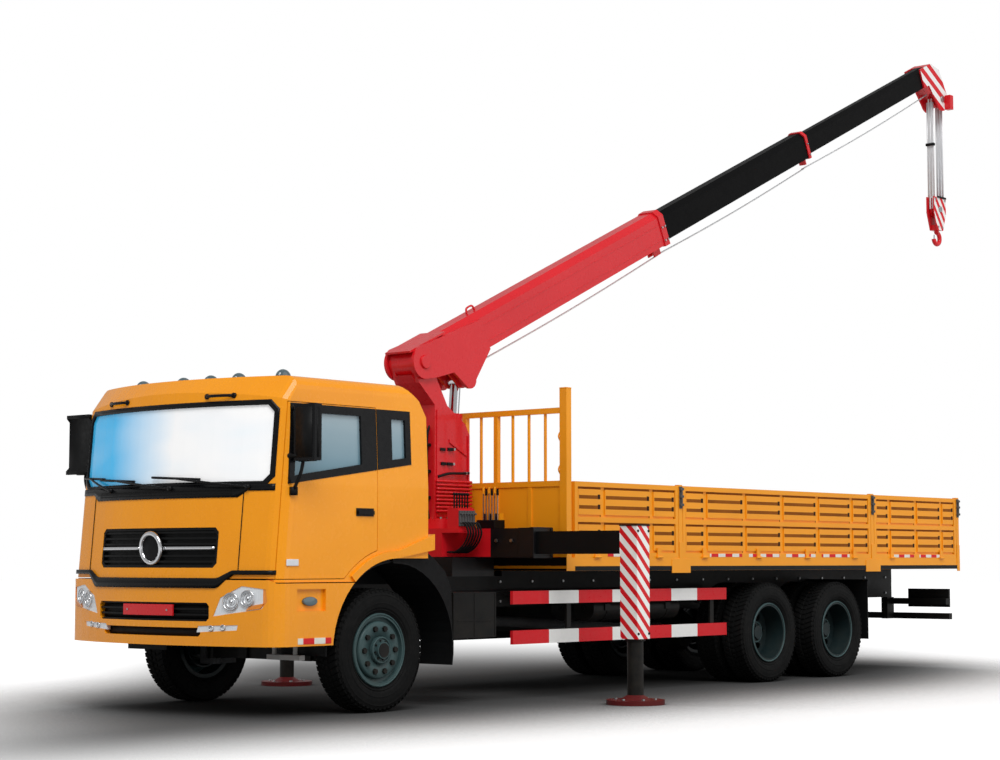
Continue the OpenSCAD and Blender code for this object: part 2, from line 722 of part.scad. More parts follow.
slat_pitch = 46;
slat_h = 16;
module grille() color(black) placed() {
    intersection() {
        difference() {
            cab_solid(4);
            cab_solid(34);
        }
        difference() {
            grille_opening();
            front_opening([-grille_y + 22, grille_y - 22], [grille_z[0] + 22, grille_z[1] - 22], 30);
        }
    }
    intersection() {
        difference() {
            cab_solid(8);
            cab_solid(34);
        }
        for (z = [grille_z[0] + 40:slat_pitch:grille_z[1] - 30])
            block([900, 2000], [-grille_y + 20, grille_y - 20], [z, z + slat_h]);
    }
    intersection() {
        difference() {
            cab_solid(34);
            cab_solid(42);
        }
        grille_opening();
    }
    intersection() {
        difference() {
            bumper_plan(14);
            bumper_plan(40);
        }
        front_opening([-lower_grille_y, lower_grille_y], lower_grille_z, 25);
        for (z = [lower_grille_z[0]:44:lower_grille_z[1] - 10])
            block([900, 2000], [-lower_grille_y, lower_grille_y], [z, z + 14]);
    }
}

module lens(outline) intersection() {
    difference() {
        bumper_plan(5);
        bumper_plan(38);
    }
    cross_plate(outline, [900, 2000]);
}

marker_r = 40;
marker_x = 800;
marker_y = [-860, -340, 0, 340, 860];
module lamps() color(white) placed() {
    both_sides() {
        lens(headlamp);
        lens(fog_lamp);
        block([underrun_x[0] + 15, underrun_x[0] + 40], [lamp_board_y[0] + 40, lamp_board_y[1] - 20],
            [rail_z - 80, rail_z + 60]);
    }
    for (y = marker_y) translate([marker_x, y, roof_z]) intersection() {
        sphere(r = marker_r);
        block([-marker_r, marker_r], [-marker_r, marker_r], [0, marker_r]);
    }
}

// Load bed

edge_top = bed_z - 6;
edge_z = rail_top + 50;
floor_t = 56;
floor_y = half_w - side_t - 5;
cross_sills = 12;
sub_z = [rail_top, edge_z];
front_beam_x = [bed_front_x, bed_front_x + 110];

module bed_floor() color(orange) placed() {
    block([bed_rear_x + side_t + 5, bed_front_x], [-floor_y, floor_y], [bed_z - floor_t, bed_z]);
    for (i = [0:cross_sills - 1]) let (x = bed_rear_x + 60 + i * (bed_l - 160) / (cross_sills - 1))
        block([x, x + 60], [-floor_y, floor_y], [edge_z, bed_z - floor_t]);
    both_sides() {
        block([bed_rear_x, bed_front_x], [floor_y, half_w], [edge_z, edge_top]);
        block([rail_rear_x, bed_front_x + 60], [rail_y - rail_flange, rail_y], [sub_z[0], sub_z[1] + 10]);
    }
    block([bed_rear_x, bed_rear_x + side_t + 5], [-half_w, half_w], [edge_z, edge_top]);
    block(front_beam_x, [-half_w, half_w], [edge_z, edge_top]);
}

head_x = [front_beam_x[1] - 70, front_beam_x[1]];
head_post_w = 80;
head_panel_z = 1940;
head_bars = 10;
module headboard() color(orange) placed() {
    both_sides() block(head_x, [half_w - head_post_w, half_w], [edge_top, head_post_z]);
    block([head_x[0] + 20, head_x[0] + 50], [-half_w + head_post_w, half_w - head_post_w], [edge_top, head_panel_z]);
    for (z = [head_panel_z, head_rail_z])
        block([head_x[0] + 10, head_x[1] - 10], [-half_w + head_post_w, half_w - head_post_w], [z - 50, z]);
    pitch = 2 * (half_w - head_post_w) / (head_bars + 2);
    for (i = [1:head_bars + 1]) translate([(head_x[0] + head_x[1]) / 2, -half_w + head_post_w + i * pitch, head_panel_z - 10])
        if (i == (head_bars + 2) / 2) translate([-25, -25, 0]) cube([50, 50, head_rail_z - head_panel_z - 20]);
        else cylinder(d = 28, h = head_rail_z - head_panel_z - 20);
}

side_z = edge_top + slide_gap;
side_top = bed_z + side_h;
stake_x = [bed_front_x - stake_1, bed_front_x - stake_2, bed_rear_x + stake_w / 2];
module stake_posts() color(orange) placed() both_sides() for (x = stake_x)
    block([x - stake_w / 2, x + stake_w / 2], [half_w - side_t, half_w], [edge_top, side_top + 10]);

// A pressed panel lying along X from 0: length, number of wide fields in each row
panel_sheet = 18;
panel_edge = 45;
field_gap = 42;
slot_h = 20;
knuckle_out = 14;
knuckle_up = 3.5;
module pressed_panel(l, wide) {
    h = side_top - side_z;
    row_h = (h - 3 * panel_edge) / 2;
    w = (l - 2 * panel_edge - wide * field_gap - field_gap) / (wide + 1);
    cube([l, side_t - panel_sheet, h]);
    for (x = l < 2000 ? [0.2 * l, 0.8 * l] : [0.1 * l, 0.37 * l, 0.63 * l, 0.9 * l]) translate([x, 0, 0]) {
        translate([-30, side_t - 1, 6]) cube([60, 11, 84]);
        bar_x(side_t + knuckle_out, knuckle_up, 20, [-45, 45]);
    }
    for (z = [0, (h - panel_edge) / 2, h - panel_edge]) translate([0, 0, z]) cube([l, side_t, panel_edge]);
    for (x = [0, l - panel_edge]) translate([x, 0, 0]) cube([panel_edge, side_t, h]);
    for (row = [0, 1], i = [0:wide + 1]) {
        x = panel_edge + (i == 0 ? 0 : (w / 2 + field_gap) + (i - 1) * (w + field_gap));
        field_w = (i == 0 || i == wide + 1) ? w / 2 : w;
        z = panel_edge + row * (row_h + panel_edge);
        difference() {
            translate([x + 12, 0, z + 22]) cube([field_w - 24, side_t - 5, row_h - 44]);
            for (k = [1, 2]) translate([x + 30, side_t - panel_sheet + 2, z + k * row_h / 3 - slot_h / 2])
                cube([field_w - 60, side_t, slot_h]);
        }
    }
}

// Ends of the three dropsides along X, and the wide fields in each
side_ends = [
    [stake_x[0] + stake_w / 2 + side_gap, bed_front_x - side_gap, 1],
    [stake_x[1] + stake_w / 2 + side_gap, stake_x[0] - stake_w / 2 - side_gap, 4],
    [stake_x[2] + stake_w / 2 + side_gap, stake_x[1] - stake_w / 2 - side_gap, 2]];
module dropside(i, side) color(orange) placed() mirror([0, side > 0 ? 0 : 1, 0])
    translate([side_ends[i][0], half_w - side_t, side_z])
    pressed_panel(side_ends[i][1] - side_ends[i][0], side_ends[i][2]);

tail_half = half_w - side_t - side_gap;
module tailgate() color(orange) placed() translate([bed_rear_x + side_t, -tail_half, side_z])
    rotate([0, 0, 90]) pressed_panel(2 * tail_half, 3);

// Crane base: cross box for the outrigger beams, pedestal and control levers

jack_x = slew_x - 130;
beam_w = 190;
beam_h = 200;
box_wall = 30;
box_z = [rail_top + 170, rail_top + 170 + beam_h + 2 * (box_wall + slide_gap)];
beam_zs = [box_z[0] + box_wall + slide_gap, box_z[1] - box_wall - slide_gap];
box_end_y = jack_y - jack_w / 2 - beam_travel - 10;
pedestal_x = [slew_x - 270, slew_x + 300];
pedestal_y = 300;
ring_top = box_z[1] + 50;
ring_d = 560;
lever_count = 6;

// Bank of levers on a shelf at each side of the pedestal
module lever_bank() {
    block([slew_x + 60, slew_x + 300], [pedestal_y, pedestal_y + 210], [box_z[1] - 40, box_z[1]]);
    block([slew_x + 70, slew_x + 290], [pedestal_y + 60, pedestal_y + 190], [box_z[1], box_z[1] + 180]);
    for (i = [0:lever_count - 1]) translate([slew_x + 90 + i * 36, pedestal_y + 125, box_z[1] + 170])
        cylinder(d = 14, h = 130);
}

module crane_base() color(red) placed() {
    difference() {
        union() {
            block([jack_x - beam_w / 2 - box_wall, jack_x + beam_w / 2 + box_wall], [-box_end_y, box_end_y], box_z);
            block(pedestal_x, [-pedestal_y, pedestal_y], box_z);
        }
        block([jack_x - beam_w / 2 - slide_gap, jack_x + beam_w / 2 + slide_gap], [-box_end_y - 1, box_end_y + 1],
            [beam_zs[0] - slide_gap, beam_zs[1] + slide_gap]);
    }
    block(pedestal_x, [-rail_y, rail_y], [rail_top, box_z[0]]);
    translate([slew_x, 0, box_z[1]]) cylinder(d = ring_d, h = ring_top - box_z[1]);
    both_sides() lever_bank();
}

// Outriggers: a sliding beam with a jack case on its end, and the jack's leg with its foot

leg_d = 140;
case_z = [555, 1520];
leg_lap = 390;
foot_t = 40;

module outrigger(side) color(black) placed() mirror([0, side > 0 ? 0 : 1, 0]) difference() {
    union() {
        block([jack_x - beam_w / 2, jack_x + beam_w / 2], [beam_travel + 10, jack_y - jack_w / 2], beam_zs);
        block([jack_x - jack_w / 2, jack_x + jack_w / 2], [jack_y - jack_w / 2, jack_y + jack_w / 2], case_z);
    }
    translate([jack_x, jack_y, case_z[0] - 1]) cylinder(d = leg_d + 2 * run_gap, h = leg_lap + jack_travel + 20);
}

module jack(side) color(black) placed() mirror([0, side > 0 ? 0 : 1, 0]) translate([jack_x, jack_y, 0]) {
    translate([0, 0, foot_t]) cylinder(d = leg_d, h = case_z[0] + leg_lap - foot_t);
    cylinder(d = foot_d, h = foot_t);
    translate([0, 0, foot_t]) cylinder(d1 = foot_d * 0.55, d2 = leg_d, h = 40);
}

// Slewing column: flange, two cheeks and a front web, with the bosses of the boom and the lift cylinder

flange_top = ring_top + 40;
cheek_y = [105, 150];
pivot_pin_d = 90;
pivot_boss_r = 125;
foot_pin_d = 60;
foot_pin = [slew_x - 120, ring_top + 140];
lug_s = 512;
lug_n = -369;
lug = boom_point(lug_s, lug_n);
neck_x = [slew_x + 60, slew_x + 230];

cheek_outline = concat([[slew_x - 250, flange_top], [slew_x - 250, 2380], [slew_x - 190, 2480], [slew_x + 60, 2640]],
    arc([boom_pivot[0], boom_pivot[2]], pivot_boss_r, 190, -25, 14),
    [[slew_x + 440, 2830], [neck_x[1], 2640], [neck_x[1], flange_top]]);
web_outline = [[neck_x[0], flange_top], [neck_x[0], 2480], [slew_x + 260, 2860], [slew_x + 500, 2900],
    [slew_x + 440, 2830], [neck_x[1], 2640], [neck_x[1], flange_top]];

module column() color(red) placed() {
    translate([slew_x, 0, ring_top + run_gap]) cylinder(d = ring_d - 20, h = flange_top - ring_top - run_gap);
    difference() {
        union() {
            both_sides() side_plate(cheek_outline, cheek_y);
            side_plate(web_outline, [-cheek_y[0], cheek_y[0]]);
            bar_y(boom_pivot[0], boom_pivot[2], 2 * pivot_boss_r, [-cheek_y[1], cheek_y[1]]);
        }
        bar_y(boom_pivot[0], boom_pivot[2], pivot_pin_d + 2 * run_gap, [-300, 300]);
    }
    bar_y(foot_pin[0], foot_pin[1], foot_pin_d, [-cheek_y[1], cheek_y[1]]);
}

// Lift cylinder, standing on the column's pin and reaching for the boom's lug

lift_l = norm(lug - foot_pin);
lift_lean = atan2(lug[0] - foot_pin[0], lug[1] - foot_pin[1]);
barrel_l = 885;
rod_l = 845;
rod_eye_w = 110;

module on_foot_pin() placed() translate([foot_pin[0], 0, foot_pin[1]]) rotate([0, lift_lean, 0]) children();

module lift_barrel() color(red) on_foot_pin() difference() {
    union() {
        cylinder(d = barrel_d, h = barrel_l);
        translate([0, 0, barrel_l - 60]) cylinder(d = barrel_d + 20, h = 60);
        bar_y(0, 0, 130, [-cheek_y[0] + 7, cheek_y[0] - 7]);
    }
    translate([0, 0, 85]) cylinder(d = rod_d + 2 * run_gap, h = barrel_l);
    bar_y(0, 0, foot_pin_d + 2 * run_gap, [-200, 200]);
}

module lift_rod() color(steel) on_foot_pin() difference() {
    union() {
        translate([0, 0, lift_l - rod_l]) cylinder(d = rod_d, h = rod_l);
        bar_y(0, lift_l, 120, [-rod_eye_w / 2, rod_eye_w / 2]);
    }
    bar_y(0, lift_l, 50, [-100, 100]);
}

// Boom: three telescoping sections with bevelled tops, the head and the hook

module in_boom() placed() translate(boom_pivot) rotate([0, boom_angle, 0]) rotate([0, 0, 180]) children();

boom_bevel = 60;
module boom_section(w, h, s, bevel) cross_plate([
    [-w / 2, boom_n - h / 2], [w / 2, boom_n - h / 2], [w / 2, boom_n + h / 2 - bevel],
    [w / 2 - bevel, boom_n + h / 2], [-w / 2 + bevel, boom_n + h / 2], [-w / 2, boom_n + h / 2 - bevel]], s);

// A section's tube with a collar round its outer end
collar_t = 12;
module boom_tube(w, h, s, bevel, collar_l) difference() {
    union() {
        boom_section(w, h, s, bevel);
        boom_section(w + 2 * collar_t, h + 2 * collar_t, [s[1] - collar_l, s[1]], bevel);
    }
    boom_section(w - 2 * boom_t, h - 2 * boom_t, [s[0] - 1, s[1] + 1], bevel - 0.6 * boom_t);
}

// A wear pad between one section and the next: at the mouth below, at the tail above
module mouth_pad(s, outer_h, inner_h, w) block([s - 150, s], [-w / 2 + 30, w / 2 - 30],
    [boom_n - outer_h / 2 + boom_t, boom_n - inner_h / 2 - slide_gap]);
module tail_pad(s, outer_h, inner_h, w) block([s, s + 150], [-w / 2 + boom_bevel + 5, w / 2 - boom_bevel - 5],
    [boom_n + inner_h / 2, boom_n + outer_h / 2 - boom_t - slide_gap]);

root_y = [cheek_y[1] + 6, cheek_y[1] + 36];
root_end_s = 900;
root_outline = concat(arc([0, 0], 155, 250, 100, 12), [[root_end_s, boom_n + boom_h / 2 - boom_bevel],
    [root_end_s, boom_n - boom_h / 2]], arc([lug_s, lug_n], 85, 340, 200, 8),
    [[330, boom_n - boom_h / 2 - 20], [60, -180]]);
lug_y = [rod_eye_w / 2 + 7, rod_eye_w / 2 + 35];
lug_outline = concat([[330, boom_n - boom_h / 2 + 5]], arc([lug_s, lug_n], 75, 200, 340, 8),
    [[900, boom_n - boom_h / 2 + 5]]);
fairlead_s = base_l - 130;

module boom_base() color(red) in_boom() {
    boom_tube(boom_w, boom_h, [root_s, base_l], boom_bevel, 90);
    boom_section(boom_w, boom_h, [root_s, root_s + boom_t], boom_bevel);
    mouth_pad(base_l, boom_h, stage_1_h, stage_1_w);
    both_sides() {
        side_plate(root_outline, root_y);
        block([root_s, root_end_s], [boom_w / 2 - 5, root_y[0]],
            [boom_n - boom_h / 2, boom_n + boom_h / 2 - boom_bevel]);
        difference() {
            side_plate(lug_outline, lug_y);
            bar_y(lug_s, lug_n, 50, [0, 200]);
        }
        block([fairlead_s - 60, fairlead_s + 60], [30, 45], [boom_n - boom_h / 2 - 90, boom_n - boom_h / 2]);
    }
    block([-120, root_s], [-root_y[0], root_y[0]], [pivot_boss_r + 10, pivot_boss_r + 28]);
    bar_y(0, 0, pivot_pin_d, [-root_y[1] - 14, root_y[1] + 14]);
    bar_y(fairlead_s, boom_n - boom_h / 2 - 55, 56, [-35, 35]);
}

module boom_stage_1() color(black) in_boom() {
    boom_tube(stage_1_w, stage_1_h, [base_l - stage_lap, stage_1_end], boom_bevel - 5, 50);
    tail_pad(base_l - stage_lap, boom_h, stage_1_h, stage_1_w);
    mouth_pad(stage_1_end, stage_1_h, stage_2_h, stage_2_w);
    block([stage_1_end - 40, stage_1_end - 10], [-40, 40], [boom_n - stage_1_h / 2 - 80, boom_n - stage_1_h / 2]);
}

stage_2_tail = stage_1_end - stage_lap + 100;
module boom_stage_2() color(black) in_boom() {
    difference() {
        boom_section(stage_2_w, stage_2_h, [stage_2_tail, stage_2_end], boom_bevel - 10);
        boom_section(stage_2_w - 2 * boom_t, stage_2_h - 2 * boom_t, [stage_2_tail - 1, stage_2_end + 1],
            boom_bevel - 10 - 0.6 * boom_t);
    }
    tail_pad(stage_2_tail, stage_1_h, stage_2_h, stage_2_w);
}

// Head: two side plates past the end of the last section, with the upper sheaves between them

head_pin_d = 50;
sheave_r = 100;
sheave_y = 20;
sheave_w = 30;
head_plate = 22;
head_y = [stage_2_w / 2, stage_2_w / 2 + head_plate];
head_outline = let (e = stage_2_end, low = boom_n - stage_2_h / 2, top = boom_n + stage_2_h / 2)
    [[e - 150, low], [e - 150, top], [e + 140, top], [e + 320, top - 130], [head_pin_s + 140, head_pin_n + 50],
        [head_pin_s - 130, head_pin_n - 70], [e - 20, low]];

module sheaves(x, z) for (y = [-sheave_y, sheave_y])
    bar_y(x, z, 2 * sheave_r, [y - sheave_w / 2, y + sheave_w / 2]);

module boom_head() color(red) in_boom() {
    both_sides() {
        side_plate(head_outline, head_y);
        bar_y(head_pin_s, head_pin_n, 2 * head_r, head_y);
    }
    sheaves(head_pin_s, head_pin_n);
    bar_y(head_pin_s, head_pin_n, head_pin_d, [-head_y[1], head_y[1]]);
    block([stage_2_end, stage_2_end + 130], [-head_y[0], head_y[0]],
        [boom_n + stage_2_h / 2 - 25, boom_n + stage_2_h / 2]);
}

// Rope falls and hook block, hanging plumb from the head's pin

rope_d = 22;
block_z = head_pin[1] - fall_l;
block_y = [sheave_y + sheave_w / 2 + 6, sheave_y + sheave_w / 2 + 22];
hook_r = 75;
hook_bar_d = 56;
hook_z = block_z - 370;
hook_mouth = 100;

module hook_falls() color(steel) placed()
    for (x = [-1, 1], y = [-sheave_y, sheave_y])
        translate([head_pin[0] + x * (sheave_r + rope_d / 2 + run_gap), y, block_z])
            cylinder(d = rope_d, h = fall_l);

block_outline = [[-150, 150], [150, 150], [150, -50], [70, -270], [-70, -270], [-150, -50]];

module hook_block() color(red) placed() translate([head_pin[0], 0, block_z]) {
    both_sides() side_plate(block_outline, block_y);
    sheaves(0, 0);
    bar_y(0, 0, head_pin_d, [-block_y[1], block_y[1]]);
    block([-60, 60], [-block_y[1], block_y[1]], [-270, -200]);
    translate([0, 0, hook_z - block_z + hook_r - 10]) cylinder(d = 60, h = 110);
    translate([0, 0, hook_z - block_z]) rotate([90, 0, 0]) rotate([0, 0, 90])
        rotate_extrude(angle = 360 - hook_mouth) translate([hook_r, 0]) circle(d = hook_bar_d);
}

chassis_frame();
axles();
engine();
tanks();
mudguards();
side_guards();
rear_underrun();
cab_floor();
cab_back();
cab_sides();
cab_roof();
front_panel();
bumper();
grille();
lamps();
cab_glass();
cab_interior();
door(1);  // door_left
door(-1);  // door_right
door_glass(1);  // door_glass_left
door_glass(-1);  // door_glass_right
bed_floor();
headboard();
stake_posts();
tailgate();
dropside(0, 1);  // dropside_left_1
dropside(1, 1);  // dropside_left_2
dropside(2, 1);  // dropside_left_3
dropside(0, -1);  // dropside_right_1
dropside(1, -1);  // dropside_right_2
dropside(2, -1);  // dropside_right_3
crane_base();
outrigger(1);  // outrigger_left
outrigger(-1);  // outrigger_right
jack(1);  // jack_left
jack(-1);  // jack_right
column();
lift_barrel();
lift_rod();
boom_base();
boom_stage_1();
boom_stage_2();
boom_head();
hook_falls();
hook_block();
knuckle(1);  // knuckle_left
knuckle(-1);  // knuckle_right
wheel_front(1);  // wheel_front_left
wheel_front(-1);  // wheel_front_right
tyre_front(1);  // tyre_front_left
tyre_front(-1);  // tyre_front_right
wheel_rear(0, 1);  // wheel_rear_1_left
wheel_rear(0, -1);  // wheel_rear_1_right
tyre_rear(0, 1);  // tyre_rear_1_left
tyre_rear(0, -1);  // tyre_rear_1_right
wheel_rear(1, 1);  // wheel_rear_2_left
wheel_rear(1, -1);  // wheel_rear_2_right
tyre_rear(1, 1);  // tyre_rear_2_left
tyre_rear(1, -1);  // tyre_rear_2_right
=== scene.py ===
from math import atan2, cos, pi, radians, sin, sqrt

import bmesh
import bpy
from mathutils import Matrix, Vector


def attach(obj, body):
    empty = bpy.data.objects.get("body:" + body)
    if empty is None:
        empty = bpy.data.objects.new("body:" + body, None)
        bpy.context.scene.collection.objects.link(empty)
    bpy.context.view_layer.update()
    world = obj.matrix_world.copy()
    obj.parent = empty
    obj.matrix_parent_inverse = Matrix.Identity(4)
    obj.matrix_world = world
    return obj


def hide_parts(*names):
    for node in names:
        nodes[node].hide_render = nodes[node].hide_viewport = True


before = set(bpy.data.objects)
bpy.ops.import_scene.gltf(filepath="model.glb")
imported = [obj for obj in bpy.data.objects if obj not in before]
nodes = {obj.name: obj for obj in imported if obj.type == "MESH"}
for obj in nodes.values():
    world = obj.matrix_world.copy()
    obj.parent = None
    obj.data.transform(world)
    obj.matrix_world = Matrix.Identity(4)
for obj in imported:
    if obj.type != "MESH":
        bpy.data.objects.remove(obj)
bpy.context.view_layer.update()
scene = bpy.context.scene
scene.view_settings.view_transform = "Standard"

# Places along X are measured from the front axle, as in the part's source, and then shifted
SHIFT = 5.05419
OFFSET = Vector((SHIFT, 0, 0))
HALF_W = 1.24
SIDES = ((1, "left"), (-1, "right"))


# Materials

class Finish:
    """A material under construction: its nodes, its links and its Principled shader."""

    def __init__(self, name):
        self.material = bpy.data.materials.new(name)
        self.material.use_nodes = True
        self.tree = self.material.node_tree
        self.shader = self.tree.nodes["Principled BSDF"]
        self.coords = self.add("ShaderNodeTexCoord").outputs["Object"]

    def add(self, kind, **settings):
        node = self.tree.nodes.new(kind)
        for key, value in settings.items():
            setattr(node, key, value)
        return node

    def link(self, a, b):
        self.tree.links.new(a, b)

    def set(self, **values):
        for key, value in values.items():
            self.shader.inputs[key.replace("_", " ")].default_value = value

    def noise(self, scale, detail=4.0, rough=0.6, stretch=None):
        node = self.add("ShaderNodeTexNoise")
        node.inputs["Scale"].default_value = scale
        node.inputs["Detail"].default_value = detail
        node.inputs["Roughness"].default_value = rough
        source = self.coords
        if stretch:
            mapping = self.add("ShaderNodeMapping")
            mapping.inputs["Scale"].default_value = stretch
            self.link(self.coords, mapping.inputs["Vector"])
            source = mapping.outputs["Vector"]
        self.link(source, node.inputs["Vector"])
        return node.outputs["Fac"]

    def span(self, value, low, high, to_low, to_high):
        node = self.add("ShaderNodeMapRange")
        for key, number in (("From Min", low), ("From Max", high), ("To Min", to_low), ("To Max", to_high)):
            node.inputs[key].default_value = number
        self.link(value, node.inputs["Value"])
        return node.outputs["Result"]

    def mottle(self, scale, detail, low=0.0, high=1.0):
        """Noise between two values, with its flat ends cut off."""
        return self.span(self.noise(scale, detail), 0.3, 0.7, low, high)

    def maths(self, operation, a, b=0.0):
        node = self.add("ShaderNodeMath", operation=operation)
        for socket, value in zip(node.inputs, (a, b)):
            if isinstance(value, (int, float)):
                socket.default_value = value
            else:
                self.link(value, socket)
        return node.outputs["Value"]

    def weighed(self, values, weights):
        """The sum of several values, each times its weight."""
        total = None
        for value, weight in zip(values, weights):
            part = self.maths("MULTIPLY", value, weight)
            total = part if total is None else self.maths("ADD", total, part)
        return total

    def axes(self):
        node = self.add("ShaderNodeSeparateXYZ")
        self.link(self.coords, node.inputs["Vector"])
        return node.outputs["X"], node.outputs["Y"], node.outputs["Z"]

    def mix(self, factor, a, b):
        node = self.add("ShaderNodeMix", data_type="RGBA")
        for socket, value in ((node.inputs["Factor"], factor), (node.inputs[6], a), (node.inputs[7], b)):
            if isinstance(value, tuple):
                socket.default_value = (*value, 1.0)
            else:
                self.link(value, socket)
        return node.outputs[2]

    def colour(self, source):
        self.link(source, self.shader.inputs["Base Color"])

    def roughness(self, source):
        self.link(source, self.shader.inputs["Roughness"])

    def bump(self, height, strength, distance=0.002):
        node = self.add("ShaderNodeBump")
        node.inputs["Strength"].default_value = strength
        node.inputs["Distance"].default_value = distance
        self.link(height, node.inputs["Height"])
        self.link(node.outputs["Normal"], self.shader.inputs["Normal"])


def times(colour, factor):
    return tuple(c * factor for c in colour)


DUST = (0.2, 0.165, 0.12)
DUST_FROM_Z, DUST_TO_Z = 0.35, 1.25


def painted(name, colour, rough, coat, dust, peel=0.012, shine=0.3, outer=None, edge=0.0, foot=0.0):
    """Sprayed paint: a slight change of tone, orange peel, and road dust low down.

    With an outer colour, the paint changes to it further out than the edge, and below the foot."""
    f = Finish(name)
    light = tuple(min(1.0, c) for c in times(colour, 1.05))
    base = f.mix(f.mottle(0.9, 3), times(colour, 0.93), light)
    if outer:
        y, z = f.axes()[1:]
        beyond = f.maths("GREATER_THAN", f.maths("ABSOLUTE", y), edge)
        below = f.maths("LESS_THAN", z, foot)
        base = f.mix(f.maths("MAXIMUM", beyond, below), base, outer)
    low = f.span(f.axes()[2], DUST_FROM_Z, DUST_TO_Z, dust, 0.0)
    film = f.maths("MULTIPLY", low, f.span(f.noise(7.0, 6), 0.35, 0.75, 0.2, 1.0))
    f.colour(f.mix(film, base, DUST))
    f.roughness(f.mottle(14.0, 5, rough - 0.05, rough + 0.08))
    f.bump(f.noise(160.0, 2), peel)
    f.set(Coat_Weight=coat, Coat_Roughness=0.06, Specular_IOR_Level=shine)
    return f.material


def banded(name, first, second, slope, pitch, share=0.5, offset=0.0, rough=0.3):
    """Two colours in bands square to a slope in X, Y and Z, as on warning stripes."""
    f = Finish(name)
    total = f.weighed(f.axes(), slope)
    turn = f.maths("FRACT", f.maths("ADD", f.maths("DIVIDE", total, pitch), offset))
    second_here = f.maths("GREATER_THAN", turn, share)
    worn = f.span(f.noise(22.0, 6), 0.35, 0.75, 0.0, 0.06)
    f.colour(f.mix(worn, f.mix(second_here, first, second), (0.25, 0.22, 0.19)))
    f.roughness(f.mottle(30.0, 4, rough - 0.05, rough + 0.1))
    f.bump(f.noise(180.0, 2), 0.02)
    f.set(Coat_Weight=0.05, Coat_Roughness=0.15, Specular_IOR_Level=0.15)
    return f.material


def moulded(name, colour, rough=0.5, grain=320.0, strength=0.12):
    """Moulded plastic with a fine leather grain."""
    f = Finish(name)
    f.colour(f.mix(f.mottle(3.0, 4), times(colour, 0.85), times(colour, 1.2)))
    f.roughness(f.mottle(25.0, 4, rough - 0.08, rough + 0.1))
    f.bump(f.noise(grain, 3), strength, 0.001)
    f.set(Specular_IOR_Level=0.14)
    return f.material


def metal(name, colour, rough, stretch=(1.0, 1.0, 1.0), scale=60.0, metallic=1.0):
    """Bare metal, with scratches that run along the long way of stretch."""
    f = Finish(name)
    lines = f.noise(scale, 5, 0.7, stretch)
    f.colour(f.mix(f.span(lines, 0.3, 0.7, 0.0, 1.0), times(colour, 0.85), colour))
    f.roughness(f.span(lines, 0.3, 0.7, max(0.02, rough - 0.06), rough + 0.1))
    f.set(Metallic=metallic)
    f.bump(lines, 0.03, 0.0005)
    return f.material


def rubber(name, colour, rough):
    """Tyre rubber: mottled, dull, and a little greyer with dust."""
    f = Finish(name)
    dusty = f.maths("MULTIPLY", f.mottle(9.0, 6), 0.1)
    f.colour(f.mix(dusty, colour, (0.045, 0.042, 0.038)))
    f.roughness(f.mottle(40.0, 4, rough - 0.1, rough + 0.1))
    f.bump(f.noise(240.0, 4), 0.2, 0.001)
    f.set(Specular_IOR_Level=0.12)
    return f.material


def lens(name, colour, rough=0.06, ribs=0.0):
    """Lamp plastic, with moulded ribs where ribs is their pitch in metres."""
    f = Finish(name)
    f.colour(f.mix(f.mottle(18.0, 3), times(colour, 0.9), colour))
    f.set(Roughness=rough, Coat_Weight=0.6, Coat_Roughness=0.03)
    if ribs:
        y = f.axes()[1]
        f.bump(f.maths("SINE", f.maths("MULTIPLY", y, 2 * pi / ribs)), 0.25, 0.002)
    return f.material


def pane(name, axis, low, high, low_colour, high_colour, alpha, reflection_glow=0.0):
    """Window glass whose tint and painted sky reflection change along an axis from one edge to the other.

    The painted reflection has wiped streaks, and reflection_glow is the brightness of the painted sky in it,
    shining by itself."""
    f = Finish(name)
    height = f.span(f.axes()[axis], low, high, 0.0, 1.0)
    streak = f.span(f.noise(1.6, 2, 0.5, (0.6, 0.6, 1.6)), 0.3, 0.7, -0.1, 0.1)
    level = f.add("ShaderNodeClamp")
    f.link(f.maths("ADD", height, streak), level.inputs["Value"])
    tint_and_reflection = f.mix(level.outputs["Result"], low_colour, high_colour)
    f.colour(tint_and_reflection)
    if reflection_glow:
        f.link(tint_and_reflection, f.shader.inputs["Emission Color"])
        f.set(Emission_Strength=reflection_glow)
    f.roughness(f.mottle(6.0, 4, 0.02, 0.07))
    f.set(Alpha=alpha, IOR=1.5, Coat_Weight=0.5, Coat_Roughness=0.02)
    return f.material


def woven(name, colour):
    """Seat cloth: a fine weave with paler threads."""
    f = Finish(name)
    x, y, z = f.axes()
    threads = f.maths("MULTIPLY", f.maths("SINE", f.maths("MULTIPLY", y, 2200.0)),
        f.maths("SINE", f.maths("MULTIPLY", f.maths("ADD", x, z), 2200.0)))
    f.colour(f.mix(f.span(threads, -1.0, 1.0, 0.0, 1.0), times(colour, 0.7), times(colour, 1.3)))
    f.set(Roughness=0.9, Sheen_Weight=0.3)
    f.bump(threads, 0.3, 0.001)
    return f.material


ORANGE = (1.0, 0.352, 0.006)
RED = (0.7, 0.01, 0.018)
WHITE = (0.9, 0.9, 0.88)

